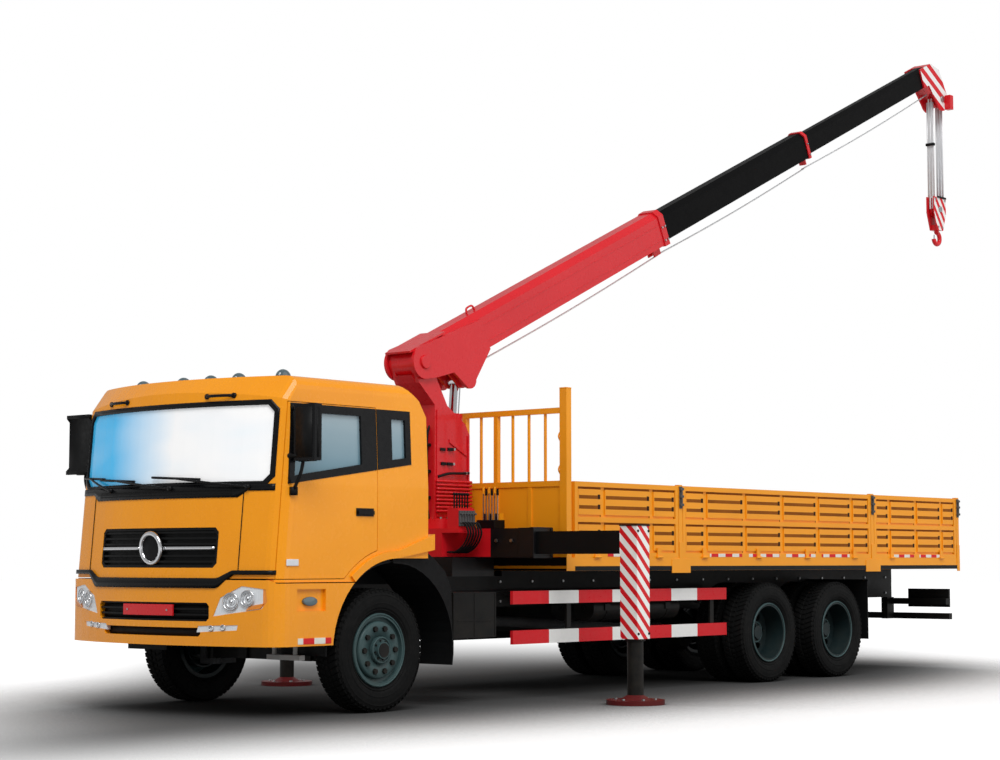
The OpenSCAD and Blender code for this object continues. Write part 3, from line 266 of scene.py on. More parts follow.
cab_paint = painted("cab_paint", ORANGE, 0.24, 0.16, 0.05)
bed_paint = painted("bed_paint", (0.94, 0.35, 0.009), 0.36, 0.08, 0.08)
crane_paint = painted("crane_paint", RED, 0.28, 0.18, 0.05)
base_paint = painted("base_paint", RED, 0.34, 0.1, 0.1, outer=(0.006, 0.006, 0.007), edge=0.62, foot=1.256)
foot_paint = painted("foot_paint", (0.11, 0.005, 0.008), 0.45, 0.0, 0.1, 0.012, 0.15)
black_paint = painted("black_paint", (0.0045, 0.005, 0.0055), 0.42, 0.02, 0.1, 0.012, 0.14)
boom_black = painted("boom_black", (0.0022, 0.0022, 0.0024), 0.4, 0.0, 0.0, 0.012, 0.05)
rim_paint = painted("rim_paint", (0.007, 0.019, 0.022), 0.42, 0.05, 0.08, 0.012, 0.22)
# The hubs' lighter teal, which also paints highlights on the edges of the wheel rims
hub_paint_and_rim_highlight = painted("hub_paint_and_rim_highlight", (0.04, 0.082, 0.086), 0.45, 0.05, 0.1, 0.012, 0.25)
engine_iron = moulded("engine_iron", (0.09, 0.092, 0.095), 0.6, 90.0, 0.3)
black_plastic = moulded("black_plastic", (0.005, 0.0052, 0.0055), 0.5)
trim_black = moulded("trim_black", (0.005, 0.0052, 0.006), 0.25, 500.0, 0.03)
dark_grey = moulded("dark_grey", (0.05, 0.052, 0.055), 0.55)
step_grey = moulded("step_grey", (0.5, 0.5, 0.49), 0.5)
# Painted shade for the pressed slots and folds of the bed's sides, and darker painted shade at the slots'
# ends
slot_shade = moulded("slot_shade", (0.25, 0.074, 0.005), 0.7)
slot_end_shade = moulded("slot_end_shade", (0.03, 0.011, 0.004), 0.7)
tyre_rubber = rubber("tyre_rubber", (0.0045, 0.0048, 0.005), 0.75)
hose_rubber = rubber("hose_rubber", (0.01, 0.01, 0.011), 0.55)
seat_cloth = woven("seat_cloth", (0.06, 0.062, 0.068))
chrome = metal("chrome", (0.8, 0.81, 0.83), 0.08)
steel = metal("steel", (0.48, 0.49, 0.5), 0.32)
rope_steel = metal("rope_steel", (0.84, 0.85, 0.87), 0.35, (1.0, 1.0, 0.4), 260.0, 0.2)
mirror_face = metal("mirror_face", (0.75, 0.8, 0.84), 0.04)
# Painted sky reflections over the glass's own tint: the windscreen goes from blue at its right to white at
# its left and shines by itself, the side windows from teal low down to pale grey high up
screen_glass = pane("screen_glass", 1, -0.7, 0.16, (0.05, 0.52, 0.92), (1.0, 1.0, 1.0), 0.95, 0.16)
side_glass = pane("side_glass", 2, 1.85, 2.42, (0.085, 0.25, 0.34), (0.4, 0.52, 0.58), 0.78)
clear_lens = lens("clear_lens", (0.78, 0.81, 0.84), 0.05, 0.02)
amber_lens = lens("amber_lens", (0.85, 0.26, 0.01))
red_lens = lens("red_lens", (0.55, 0.008, 0.008), 0.08, 0.015)
marker_lens = lens("marker_lens", (0.075, 0.125, 0.145))
jack_stripes = banded("jack_stripes", RED, WHITE, (-0.62, 0.62, 0.62), 0.078, 0.46)
head_stripes = banded("head_stripes", RED, WHITE, (-0.5, 0.0, 0.95), 0.16)
block_stripes = banded("block_stripes", RED, WHITE, (-0.95, 0.0, 0.75), 0.13)
guard_stripes = banded("guard_stripes", WHITE, RED, (1.0, 0.0, 0.0), 0.927, 0.46, 0.434)
tape_stripes = banded("tape_stripes", (0.8, 0.78, 0.7), RED, (1.0, 0.0, 0.0), 0.24, 0.5)

# The slot that a piece with each finish takes
SLOT_OF = {finish.name: slot for slot, finishes in (
    ("black_plastic", (black_plastic, trim_black, dark_grey, hose_rubber, seat_cloth)),
    ("chassis_paint", (black_paint,)),
    ("crane_paint", (crane_paint, base_paint)),
    ("bed_paint", (bed_paint, slot_shade, slot_end_shade)),
    ("rim_paint", (hub_paint_and_rim_highlight,)),
    ("iron", (engine_iron, step_grey)),
    ("rod_chrome", (chrome, steel, mirror_face)),
    ("rope_steel", (rope_steel,)),
    ("tyre", (tyre_rubber,)),
    ("lens", (clear_lens, amber_lens, marker_lens, tape_stripes))) for finish in finishes}


# Making pieces

def at(x, y, z):
    """A point given from the front axle."""
    return Vector((x + SHIFT, y, z))


def spread(a, b, n):
    """Values from a to b in n equal steps."""
    return [a + (b - a) * i / n for i in range(n + 1)]


def circle(r, n):
    """Points round a circle about the origin."""
    return [(r * cos(2 * pi * i / n), r * sin(2 * pi * i / n)) for i in range(n)]


def arc(x, z, r, first, last, steps):
    """X and Z points on an arc between two angles in degrees."""
    return [(x + r * cos(radians(a)), z + r * sin(radians(a))) for a in spread(first, last, steps)]


def curve_through(points, steps=8):
    """Points on a smooth line through the given points."""
    points = [Vector(p) for p in points]
    padded = [2 * points[0] - points[1]] + points + [2 * points[-1] - points[-2]]
    line = []
    for a, b, c, d in zip(padded, padded[1:], padded[2:], padded[3:]):
        for i in range(steps):
            t = i / steps
            line.append(0.5 * (2 * b + (c - a) * t + (2 * a - 5 * b + 4 * c - d) * t * t
                + (3 * b - a - 3 * c + d) * t * t * t))
    line.append(points[-1])
    return line


class Shape:
    """A mesh under construction. All its places are given from the front axle."""

    def __init__(self):
        self.bm = bmesh.new()

    def skin(self, rings, loop=False):
        """Joins each ring of points to the next, and the last to the first or else caps both ends."""
        rings = [[self.bm.verts.new(p) for p in ring] for ring in rings]
        for one, other in zip(rings, rings[1:] + rings[:1] if loop else rings[1:]):
            for k in range(len(one)):
                m = (k + 1) % len(one)
                self.bm.faces.new((one[k], other[k], other[m], one[m]))
        if not loop:
            self.bm.faces.new(list(reversed(rings[0])))
            self.bm.faces.new(rings[-1])
        return self

    def box(self, low, high):
        """A block between two corners."""
        low, high = Vector(low), Vector(high)
        middle = (low + high) / 2 + OFFSET
        for v in bmesh.ops.create_cube(self.bm, size=1.0)["verts"]:
            v.co = Vector(c * s for c, s in zip(v.co, high - low)) + middle
        return self

    def rod(self, a, b, r, r_end=None, sides=16):
        """A round rod between two points."""
        a, b = Vector(a), Vector(b)
        along = b - a
        turn = along.to_track_quat("Z", "Y").to_matrix().to_4x4()
        bmesh.ops.create_cone(self.bm, cap_ends=True, segments=sides, radius1=r,
            radius2=r if r_end is None else r_end, depth=along.length,
            matrix=Matrix.Translation((a + b) / 2 + OFFSET) @ turn)
        return self

    def plate(self, outline, low, high):
        """A plate square to Y with an outline of X and Z points."""
        return self.skin([[at(x, y, z) for x, z in outline] for y in (low, high)])

    def ring(self, centre, axis, radius, r, steps=32, sides=10):
        """A torus about an axis."""
        turn = Vector(axis).normalized().to_track_quat("Z", "Y")
        section = circle(r, sides)
        return self.skin([[at(*centre) + turn @ Vector(((radius + u) * x, (radius + u) * y, v))
            for u, v in section] for x, y in circle(1.0, steps)], True)

    def tube(self, points, r, sides=10):
        """A round tube along points, capped at both ends."""
        points = [at(*p) for p in points]
        rings = []
        side = (points[1] - points[0]).normalized().orthogonal().normalized()
        for i, p in enumerate(points):
            ahead = (points[min(i + 1, len(points) - 1)] - points[max(i - 1, 0)]).normalized()
            side = (side - ahead * side.dot(ahead)).normalized()
            rings.append([p + side * u + ahead.cross(side) * v for u, v in circle(r, sides)])
        return self.skin(rings)

    def ball(self, centre, size, u, v):
        """A sphere, or an egg with its own half size along each axis."""
        bmesh.ops.create_uvsphere(self.bm, u_segments=u, v_segments=v, radius=1.0,
            matrix=Matrix.Translation(at(*centre)) @ Matrix.Diagonal((*size, 1.0)))
        return self

    def copy(self, mesh, place):
        """A copy of a mesh, moved to its place."""
        moved = mesh.copy()
        moved.transform(place)
        self.bm.from_mesh(moved)
        bpy.data.meshes.remove(moved)
        return self

    def mesh(self, name):
        bmesh.ops.recalc_face_normals(self.bm, faces=self.bm.faces)
        mesh = bpy.data.meshes.new(name)
        self.bm.to_mesh(mesh)
        self.bm.free()
        return mesh

    def done(self, name, material, body="chassis", smooth=False, bevel=0.0):
        """Turns the shape into a named piece that rides on a body."""
        mesh = self.mesh(name)
        mesh.materials.append(material)
        obj = bpy.data.objects.new(name, mesh)
        scene.collection.objects.link(obj)
        if smooth:
            for face in mesh.polygons:
                face.use_smooth = True
        if bevel:
            edge = obj.modifiers.new("edges", "BEVEL")
            edge.width = bevel
            edge.segments = 2
            edge.limit_method = "ANGLE"
            edge.angle_limit = radians(40)
        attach(obj, body)
        return obj


# Repeats, made with Geometry Nodes

def new_tree(name, inputs):
    """A tree that sets copies of a small shape on a line's points, and its ends that stay to be joined."""
    tree = bpy.data.node_groups.new(name, "GeometryNodeTree")
    tree.interface.new_socket("Geometry", in_out="OUTPUT", socket_type="NodeSocketGeometry")
    for label, kind in (("Part", "Object"), ("Count", "Int"), *inputs):
        tree.interface.new_socket(label, in_out="INPUT", socket_type="NodeSocket" + kind)
    add, join = tree.nodes.new, tree.links.new
    source, result = add("NodeGroupInput"), add("NodeGroupOutput")
    line = add("GeometryNodeMeshLine")
    shape = add("GeometryNodeObjectInfo")
    copies = add("GeometryNodeInstanceOnPoints")
    real = add("GeometryNodeRealizeInstances")
    join(source.outputs["Count"], line.inputs["Count"])
    join(source.outputs["Part"], shape.inputs["Object"])
    join(shape.outputs["Geometry"], copies.inputs["Instance"])
    join(copies.outputs[0], real.inputs[0])
    join(real.outputs[0], result.inputs[0])
    return tree, source.outputs, line, copies


def make_ring_tree():
    """Copies of a small shape set square round a circle that faces +Z."""
    tree, given, line, copies = new_tree("ring_of_parts", (("Radius", "Float"), ("Start", "Float")))
    add = tree.nodes.new
    index = add("GeometryNodeInputIndex")
    place = add("GeometryNodeSetPosition")
    point, spin = add("ShaderNodeCombineXYZ"), add("ShaderNodeCombineXYZ")
    share, turn, cosine, sine = [add("ShaderNodeMath") for i in range(4)]
    share.operation, turn.operation = "DIVIDE", "MULTIPLY_ADD"
    cosine.operation, sine.operation = "COSINE", "SINE"
    turn.inputs[1].default_value = 2 * pi
    reach = add("ShaderNodeVectorMath")
    reach.operation = "SCALE"
    for a, b in ((index.outputs[0], share.inputs[0]), (given["Count"], share.inputs[1]),
            (share.outputs[0], turn.inputs[0]), (given["Start"], turn.inputs[2]),
            (turn.outputs[0], cosine.inputs[0]), (turn.outputs[0], sine.inputs[0]),
            (cosine.outputs[0], point.inputs["X"]), (sine.outputs[0], point.inputs["Y"]),
            (point.outputs[0], reach.inputs[0]), (given["Radius"], reach.inputs["Scale"]),
            (turn.outputs[0], spin.inputs["Z"]), (line.outputs["Mesh"], place.inputs["Geometry"]),
            (reach.outputs[0], place.inputs["Position"]), (place.outputs[0], copies.inputs["Points"]),
            (spin.outputs[0], copies.inputs["Rotation"])):
        tree.links.new(a, b)
    return tree


def make_row_tree():
    """Copies of a small shape in a straight row."""
    tree, given, line, copies = new_tree("row_of_parts", (("Start", "Vector"), ("Step", "Vector")))
    tree.links.new(given["Start"], line.inputs["Start Location"])
    tree.links.new(given["Step"], line.inputs["Offset"])
    tree.links.new(line.outputs["Mesh"], copies.inputs["Points"])
    return tree


ring_tree, row_tree = make_ring_tree(), make_row_tree()


def repeated(tree, shape, **values):
    """The mesh that a tree makes from a small shape, which is then thrown away."""
    part = bpy.data.objects.new("part", shape.mesh("part"))
    holder = bpy.data.objects.new("holder", bpy.data.meshes.new("holder"))
    scene.collection.objects.link(part)
    scene.collection.objects.link(holder)
    made = holder.modifiers.new("repeat", "NODES")
    made.node_group = tree
    values["Part"] = part
    for item in tree.interface.items_tree:
        if item.in_out == "INPUT":
            made[item.identifier] = values[item.name]
    bpy.context.view_layer.update()
    result = bpy.data.meshes.new_from_object(holder.evaluated_get(bpy.context.evaluated_depsgraph_get()))
    bpy.data.objects.remove(holder)
    bpy.data.objects.remove(part)
    return result


def nut_shape(r, h):
    """A six-sided nut that stands on the origin."""
    nut = Shape()
    bmesh.ops.create_cone(nut.bm, cap_ends=True, segments=6, radius1=r, radius2=r * 0.92, depth=h,
        matrix=Matrix.Translation((0, 0, h / 2)))
    return nut


# Camera, floor and light

CAMERA_X, CAMERA_Y, CAMERA_Z = 17.371, 13.041, 1.216
view_ahead = Vector((-0.7556, -0.6494, 0.0862)).normalized()
view_right = view_ahead.cross(Vector((0, 0, 1))).normalized()
view_up = view_right.cross(view_ahead)
camera = bpy.data.objects.new("camera", bpy.data.cameras.new("camera"))
scene.collection.objects.link(camera)
camera.data.sensor_fit = "HORIZONTAL"
camera.data.sensor_width = 36.0
camera.data.lens = 75.43
camera.data.clip_end = 300.0
camera.matrix_world = Matrix((
    (view_right.x, view_up.x, -view_ahead.x, CAMERA_X),
    (view_right.y, view_up.y, -view_ahead.y, CAMERA_Y),
    (view_right.z, view_up.z, -view_ahead.z, CAMERA_Z),
    (0, 0, 0, 1)))
scene.camera = camera

FLOOR_HALF = 90
FLOOR_SHADE, FLOOR_GLOW = 0.9, 0.42
SHELTER_REACH, SHELTER_POWER = 4.2, 3.0
SKY_LIGHT = 0.42
floor_mesh = bpy.data.meshes.new("floor")
floor_mesh.from_pydata([(x * FLOOR_HALF, y * FLOOR_HALF, 0) for x, y in ((-1, -1), (1, -1), (1, 1), (-1, 1))],
    [], [(0, 1, 2, 3)])
floor = bpy.data.objects.new("floor", floor_mesh)
scene.collection.objects.link(floor)

# The floor is white under open sky. Near the wheels it has painted shade from ambient occlusion, and on the
# far side of the lorry a painted shadow
ground = Finish("floor_white")
floor_mesh.materials.append(ground.material)
ground.set(Roughness=0.9, Specular_IOR_Level=0.0, Emission_Color=(1, 1, 1, 1))
shelter = ground.add("ShaderNodeAmbientOcclusion", samples=8)
shelter.inputs["Distance"].default_value = SHELTER_REACH
open_sky = ground.maths("POWER", shelter.outputs["AO"], SHELTER_POWER)
floor_x, floor_y = ground.axes()[:2]
across = ground.weighed((floor_x, floor_y), (view_right.x, view_right.y))
away = ground.weighed((floor_x, floor_y), (-view_right.y, view_right.x))
# The painted shadow patch fades out at its near, far and side edges
shade = FLOOR_SHADE
for value, low, high, first, last in ((floor_y, 1.0, 4.0, 1.0, 0.0), (away, 1.5, 13.0, 1.0, 0.0),
        (across, -6.4, -3.8, 0.0, 1.0), (across, 2.2, 5.0, 1.0, 0.0)):
    edge = ground.span(value, low, high, first, last)
    edge.node.interpolation_type = "SMOOTHSTEP"
    shade = ground.maths("MULTIPLY", edge, shade)
lit = ground.maths("MULTIPLY", open_sky, ground.maths("SUBTRACT", 1.0, shade))
ground.colour(ground.mix(lit, (0.06, 0.06, 0.06), (0.8, 0.8, 0.8)))
seen = ground.maths("MULTIPLY", lit, ground.add("ShaderNodeLightPath").outputs["Is Camera Ray"])
ground.link(ground.maths("MULTIPLY", seen, FLOOR_GLOW), ground.shader.inputs["Emission Strength"])

# The sky is white to the camera and through glass, and dimmer as a light
world = bpy.data.worlds.new("studio")
scene.world = world
world.use_nodes = True
sky = world.node_tree
backdrop = sky.nodes["Background"]
backdrop.inputs["Color"].default_value = (1, 1, 1, 1)
sky_path = sky.nodes.new("ShaderNodeLightPath")
shows = sky.nodes.new("ShaderNodeMath")
shows.operation = "MAXIMUM"
sky.links.new(sky_path.outputs["Is Camera Ray"], shows.inputs[0])
sky.links.new(sky_path.outputs["Is Transmission Ray"], shows.inputs[1])
level = sky.nodes.new("ShaderNodeMapRange")
level.inputs["To Min"].default_value = SKY_LIGHT
level.inputs["To Max"].default_value = 1.0
sky.links.new(shows.outputs[0], level.inputs["Value"])
sky.links.new(level.outputs["Result"], backdrop.inputs["Strength"])


def sun(name, aim, strength, spread_deg):
    """A soft sun that shines the way aim points."""
    data = bpy.data.lights.new(name, "SUN")
    data.energy = strength
    data.angle = radians(spread_deg)
    light = bpy.data.objects.new(name, data)
    scene.collection.objects.link(light)
    light.rotation_euler = Vector(aim).to_track_quat("-Z", "Y").to_euler()


sun("key", (-0.55, -0.62, -0.95), 1.8, 35)
sun("side", (0.45, -0.7, -0.35), 0.45, 50)


# Finishes on the CAD solids

BOOM = radians(24.8)
PIVOT_X, PIVOT_Z = -1.6, 3.02


def along_boom(p):
    """How far a point lies along the boom from its pivot."""
    return (p[2] - PIVOT_Z) * sin(BOOM) - (p[0] - PIVOT_X) * cos(BOOM)


def boom_at(s, y, n):
    """A point from the front axle for a place along, beside and above the boom's line."""
    return (PIVOT_X - s * cos(BOOM) + n * sin(BOOM), y, PIVOT_Z + s * sin(BOOM) + n * cos(BOOM))


def dress(node, base, *others):
    """Gives a CAD solid its finish, and others to the faces whose middle and normal pass a test."""
    mesh = nodes[node].data
    mesh.materials.clear()
    for material in (base, *(other[0] for other in others)):
        mesh.materials.append(material)
    for face in mesh.polygons:
        middle = face.center - OFFSET
        face.material_index = 0
        for i, other in enumerate(others, 1):
            if other[1](middle, face.normal):
                face.material_index = i


for material, names in (
        (cab_paint, ("cab_back", "cab_sides", "cab_roof", "front_panel", "bumper")),
        (bed_paint, ("headboard", "stake_posts", "tailgate")),
        (black_paint, ("chassis_frame", "axles", "tanks", "rear_underrun")),
        (crane_paint, ("column", "lift_barrel", "boom_base")),
        (black_plastic, ("mudguards", "grille")),
        (dark_grey, ("cab_floor", "cab_interior")),
        (engine_iron, ("engine",)),
        (chrome, ("lift_rod",)),
        (boom_black, ("boom_stage_2",)),
        (rope_steel, ("hook_falls",))):
    for name in names:
        dress(name, material)
for name in ("left", "right"):
    dress("door_" + name, cab_paint, (trim_black, lambda c, n: abs(c.y) > 1.2401))
    dress("door_glass_" + name, side_glass)
    dress("outrigger_" + name, black_paint, (jack_stripes, lambda c, n: abs(c.y) > 2.055))
    dress("jack_" + name, black_paint, (foot_paint, lambda c, n: c.z < 0.085))
    dress("knuckle_" + name, engine_iron)
    dress("wheel_front_" + name, rim_paint, (hub_paint_and_rim_highlight, lambda c, n: abs(c.y) > 1.085))
    dress("tyre_front_" + name, tyre_rubber)
    for axle in (1, 2):
        dress("wheel_rear_%d_%s" % (axle, name), rim_paint)
        dress("tyre_rear_%d_%s" % (axle, name), tyre_rubber)
    for i in (1, 2, 3):
        dress("dropside_%s_%d" % (name, i), bed_paint)
dress("bed_floor", bed_paint, (black_paint, lambda c, n: c.z < 1.128 or n.z < -0.9))
dress("cab_glass", side_glass, (screen_glass, lambda c, n: c.x > 0.8))
dress("lamps", clear_lens, (marker_lens, lambda c, n: c.z > 2.6), (red_lens, lambda c, n: c.x < -9.0),
    (amber_lens, lambda c, n: abs(c.y) > 1.1 and c.z < 1.1))
dress("side_guards", black_paint, (guard_stripes, lambda c, n: abs(c.y) > 1.0699 and not 0.62 < c.z < 0.83))
dress("crane_base", base_paint, (black_paint, lambda c, n: c.z > 1.68))
dress("boom_stage_1", boom_black, (crane_paint, lambda c, n: along_boom(c) > 7.19))
dress("boom_head", crane_paint, (head_stripes, lambda c, n: abs(n.y) > 0.9 and abs(c.y) > 0.11))
dress("hook_block", crane_paint, (block_stripes, lambda c, n: abs(n.y) > 0.9 and abs(c.y) > 0.05))


# Cab: places on its outer skin

BOW = 0.23
FRONT_R = (HALF_W ** 2 + BOW ** 2) / (2 * BOW)
ARC_X = 1.43 - FRONT_R
CORNER_R = 0.16
CORNER_Y = HALF_W - CORNER_R
CORNER_X = ARC_X + sqrt((FRONT_R - CORNER_R) ** 2 - CORNER_Y ** 2)
CORNER_A = atan2(CORNER_Y, CORNER_X - ARC_X)
PANEL_Z, FRONT_LEAN = 1.083, 0.08749
VISOR_Z, VISOR_LEAN = 2.56, 0.7813
WAIST_Z, SIDE_LEAN = 1.82, 0.0473


def plan_x(y):
    """The cab's front from above: a wide bow with a rounded corner."""
    y = min(abs(y), HALF_W - 0.001)
    if y <= FRONT_R * sin(CORNER_A):
        return ARC_X + sqrt(FRONT_R ** 2 - y ** 2)
    return CORNER_X + sqrt(max(0.0, CORNER_R ** 2 - (y - CORNER_Y) ** 2))


def front_x(y, z):
    """The cab's front above the bumper, leaning back, with the visor edge of the roof."""
    lean = plan_x(y) - (z - PANEL_Z) * FRONT_LEAN
    visor = plan_x(y) - (VISOR_Z - PANEL_Z) * FRONT_LEAN - (z - VISOR_Z) * VISOR_LEAN
    return min(lean, visor) if z > 2.4 else lean


def bumper_x(y):
    """The bumper's upright front, which is a little wider than the cab."""
    return plan_x(y / 1.016) + 0.02


def side_y(z):
    """Half the cab's width at a height."""
    return HALF_W - max(0.0, SIDE_LEAN * (z - WAIST_Z))


def on_front(u, v, out):
    return at(front_x(u, v) + out, u, v)


def on_bumper(u, v, out):
    return at(bumper_x(u) + out, u, v)


def steps_round(corners, steps):
    """Points along the sides of a polygon, close enough together to bend."""
    points = []
    for a, b in zip(corners, corners[1:] + corners[:1]):
        for k in range(steps):
            points.append((a[0] + (b[0] - a[0]) * k / steps, a[1] + (b[1] - a[1]) * k / steps))
    return points


def cut_rectangle(u, v, c):
    """Points round a rectangle about the cab's middle with cut corners."""
    return steps_round([(c - u, v[0]), (u - c, v[0]), (u, v[0] + c), (u, v[1] - c), (u - c, v[1]),
        (c - u, v[1]), (-u, v[1] - c), (-u, v[0] + c)], 14)


def skin_band(inner, outer, place, lift=0.004, thick=0.02):
    """A closed band between two outlines, laid on a skin by place(u, v, out)."""
    return Shape().skin([[place(u, v, out) for u, v in outline] for outline, out in
        ((inner, lift - thick), (inner, lift), (outer, lift), (outer, lift - thick))], True)


def strip_across(shape, ys, low, high, lift, thick=0.012, place=on_front):
    """A strip across the front between two heights, which may be functions of Y."""
    rows = []
    for y in ys:
        a, b = (z(y) if callable(z) else z for z in (low, high))
        rows.append([place(y, z, out) for z, out in
            ((a, lift - thick), (a, lift), ((a + b) / 2, lift), (b, lift), (b, lift - thick))])
    return shape.skin(rows)


# Windscreen seal and cowl

skin_band(cut_rectangle(1.118, (1.837, 2.433), 0.055), cut_rectangle(1.158, (1.795, 2.474), 0.075),
    on_front).done("windscreen_seal", trim_black, smooth=True)


def step_up(low, high, start, run):
    """A height across the front that climbs from its middle to its ends."""
    return lambda y: low + (high - low) * max(0.0, min(1.0, (abs(y) - start) / run))


strip_across(Shape(), spread(-1.165, 1.165, 60), step_up(1.712, 1.762, 0.86, 0.07), 1.815, 0.006).done(
    "cowl", trim_black, smooth=True)
louvres = Shape()
for z in (1.735, 1.752, 1.769):
    strip_across(louvres, spread(-0.8, 0.8, 30), z, z + 0.007, 0.01, 0.006)
louvres.done("cowl_louvres", black_plastic)

# Dark band between the front panel and the bumper, stepping up beside the headlamps

strip_across(Shape(), spread(-1.205, 1.205, 80), step_up(1.008, 1.112, 0.74, 0.13),
    step_up(1.086, 1.146, 0.74, 0.13), 0.024, 0.05).done("bumper_band", trim_black, smooth=True)
SEAM_Y = 0.905
seams = Shape()
for side in (1, -1):
    seams.tube([(front_x(SEAM_Y, z) + 0.0005, side * SEAM_Y, z) for z in spread(1.12, 1.755, 10)], 0.0045, 6)
seams.done("front_panel_seams", trim_black)
backing = Shape()
for low, high, reach in ((0.742, 0.905, 0.69), (0.622, 0.71, 0.62)):
    strip_across(backing, spread(-reach, reach, 30), low, high, -0.052, 0.01, on_bumper)
backing.done("bumper_backing", black_plastic, smooth=True)

# Light step hung under the bumper's left end

step = Shape().box((0.69, 0.64, 0.436), (0.75, 1.02, 0.478))
for y in (0.7, 0.94):
    step.box((0.708, y - 0.015, 0.474), (0.732, y + 0.015, 0.64))
step.done("bumper_step", step_grey, bevel=0.004)

# Wipers: spindle, arm and blade lying on the lower glass

WIPER_Z, BLADE_HALF, BLADE_SLOPE = 1.79, 0.27, 0.05
wipers = Shape()
for pivot_y, tip_y, tip_z in ((0.95, 0.22, 1.872), (0.18, -0.55, 1.872), (-0.62, -1.02, 1.905)):
    root = Vector((front_x(pivot_y, WIPER_Z) + 0.012, pivot_y, WIPER_Z))
    tip = Vector((front_x(tip_y, tip_z) + 0.022, tip_y, tip_z))
    wipers.rod(root - Vector((0.02, 0, 0)), root + Vector((0.022, 0, 0.004)), 0.02)
    middle = root.lerp(tip, 0.5)
    lifted = Vector((front_x(middle.y, middle.z) + 0.034, middle.y, middle.z))
    wipers.tube(curve_through([root + Vector((0.012, 0, 0)), lifted, tip]), 0.0095, 8)
    blade = [(tip_y + d, tip_z - BLADE_SLOPE * d) for d in spread(-BLADE_HALF, BLADE_HALF, 16)]
    wipers.tube([(front_x(y, z) + 0.012, y, z) for y, z in blade], 0.0105, 6)
wipers.done("wipers", trim_black, smooth=True)

# Grab handles above the windscreen, and domes with rims on the roof lamps

HANDLE_Y, HANDLE_Z, HANDLE_HALF = 0.62, 2.515, 0.13
handles = Shape()
for y in (-HANDLE_Y, HANDLE_Y):
    line = []
    for d in spread(-HANDLE_HALF, HANDLE_HALF, 14):
        bow = 0.038 * sin(pi * (d + HANDLE_HALF) / (2 * HANDLE_HALF)) ** 0.5
        line.append((front_x(y + d, HANDLE_Z) + 0.004 + bow, y + d, HANDLE_Z))
    handles.tube(line, 0.012)
    for end in (y - HANDLE_HALF, y + HANDLE_HALF):
        x = front_x(end, HANDLE_Z)
        handles.rod((x - 0.01, end, HANDLE_Z), (x + 0.012, end, HANDLE_Z), 0.022)
handles.done("front_handles", trim_black, smooth=True)

ROOF_LAMP_X, ROOF_LAMP_Z = 0.8, 2.677
rims, domes = Shape(), Shape()
for y in (-0.86, -0.34, 0.0, 0.34, 0.86):
    rims.ring((ROOF_LAMP_X, y, ROOF_LAMP_Z + 0.001), (0, 0, 1), 0.05, 0.008)
    domes.ball((ROOF_LAMP_X, y, ROOF_LAMP_Z - 0.001), (0.078, 0.043, 0.07), 24, 12)
bmesh.ops.bisect_plane(domes.bm, geom=domes.bm.verts[:] + domes.bm.edges[:] + domes.bm.faces[:],
    plane_co=(0, 0, ROOF_LAMP_Z), plane_no=(0, 0, 1), clear_inner=True)
domes.done("roof_lamp_domes", marker_lens, smooth=True)
rims.done("roof_lamp_rims", black_plastic, smooth=True)

# Mirrors: rounded heads on bent arms, with the glass facing back

for side, name in SIDES:
    mirror = Shape().box((0.978, side * 1.254, 1.985), (1.064, side * 1.492, 2.434))
    bmesh.ops.bevel(mirror.bm, geom=mirror.bm.edges[:], offset=0.03, segments=4, affect="EDGES")
    for z in (2.03, 2.41):
        x = 1.08 - (z - WAIST_Z) * FRONT_LEAN
        mirror.tube(curve_through([(x, side * 1.2, z), (x + 0.006, side * 1.245, z),
            (x - 0.01, side * 1.285, z), (1.02, side * 1.3, z)]), 0.0145)
        mirror.rod((x, side * 1.195, z), (x + 0.004, side * 1.24, z), 0.028, 0.022)
    mirror.tube(curve_through([(1.025, side * 1.33, 1.995), (1.04, side * 1.32, 1.9),
        (1.05, side * 1.262, 1.78)]), 0.0145)
    mirror.box((1.02, side * 1.236, 1.725), (1.08, side * 1.268, 1.79))
    mirror.done("mirror_head_" + name, black_plastic, "door_" + name, True)
    faces = Shape()
    for low, high in ((2.01, 2.12), (2.135, 2.41)):
        faces.box((0.9735, side * 1.275, low), (0.98, side * 1.472, high))
    faces.done("mirror_faces_" + name, mirror_face, "door_" + name, bevel=0.002)

# Grille: bright bar across the slats with a plain round boss

BOSS_Z = 1.319
boss_x = front_x(0, BOSS_Z)
bar = Shape()
for first, last in ((-0.675, -0.15), (0.15, 0.675)):
    strip_across(bar, spread(first, last, 14), BOSS_Z - 0.011, BOSS_Z + 0.011, 0.01, 0.03)
bar.ring((boss_x + 0.004, 0, BOSS_Z), (1, 0, -0.087), 0.118, 0.02, 40, 12)
bar.done("grille_bar", chrome, smooth=True)
Shape().rod((boss_x - 0.03, 0, BOSS_Z), (boss_x + 0.004, 0, BOSS_Z - 0.002), 0.112, 0.104, 40).done(
    "grille_boss", black_plastic, smooth=True, bevel=0.004)

# Headlamps: two bowls with a bulb in each, an amber end, and rims on the fog lamps

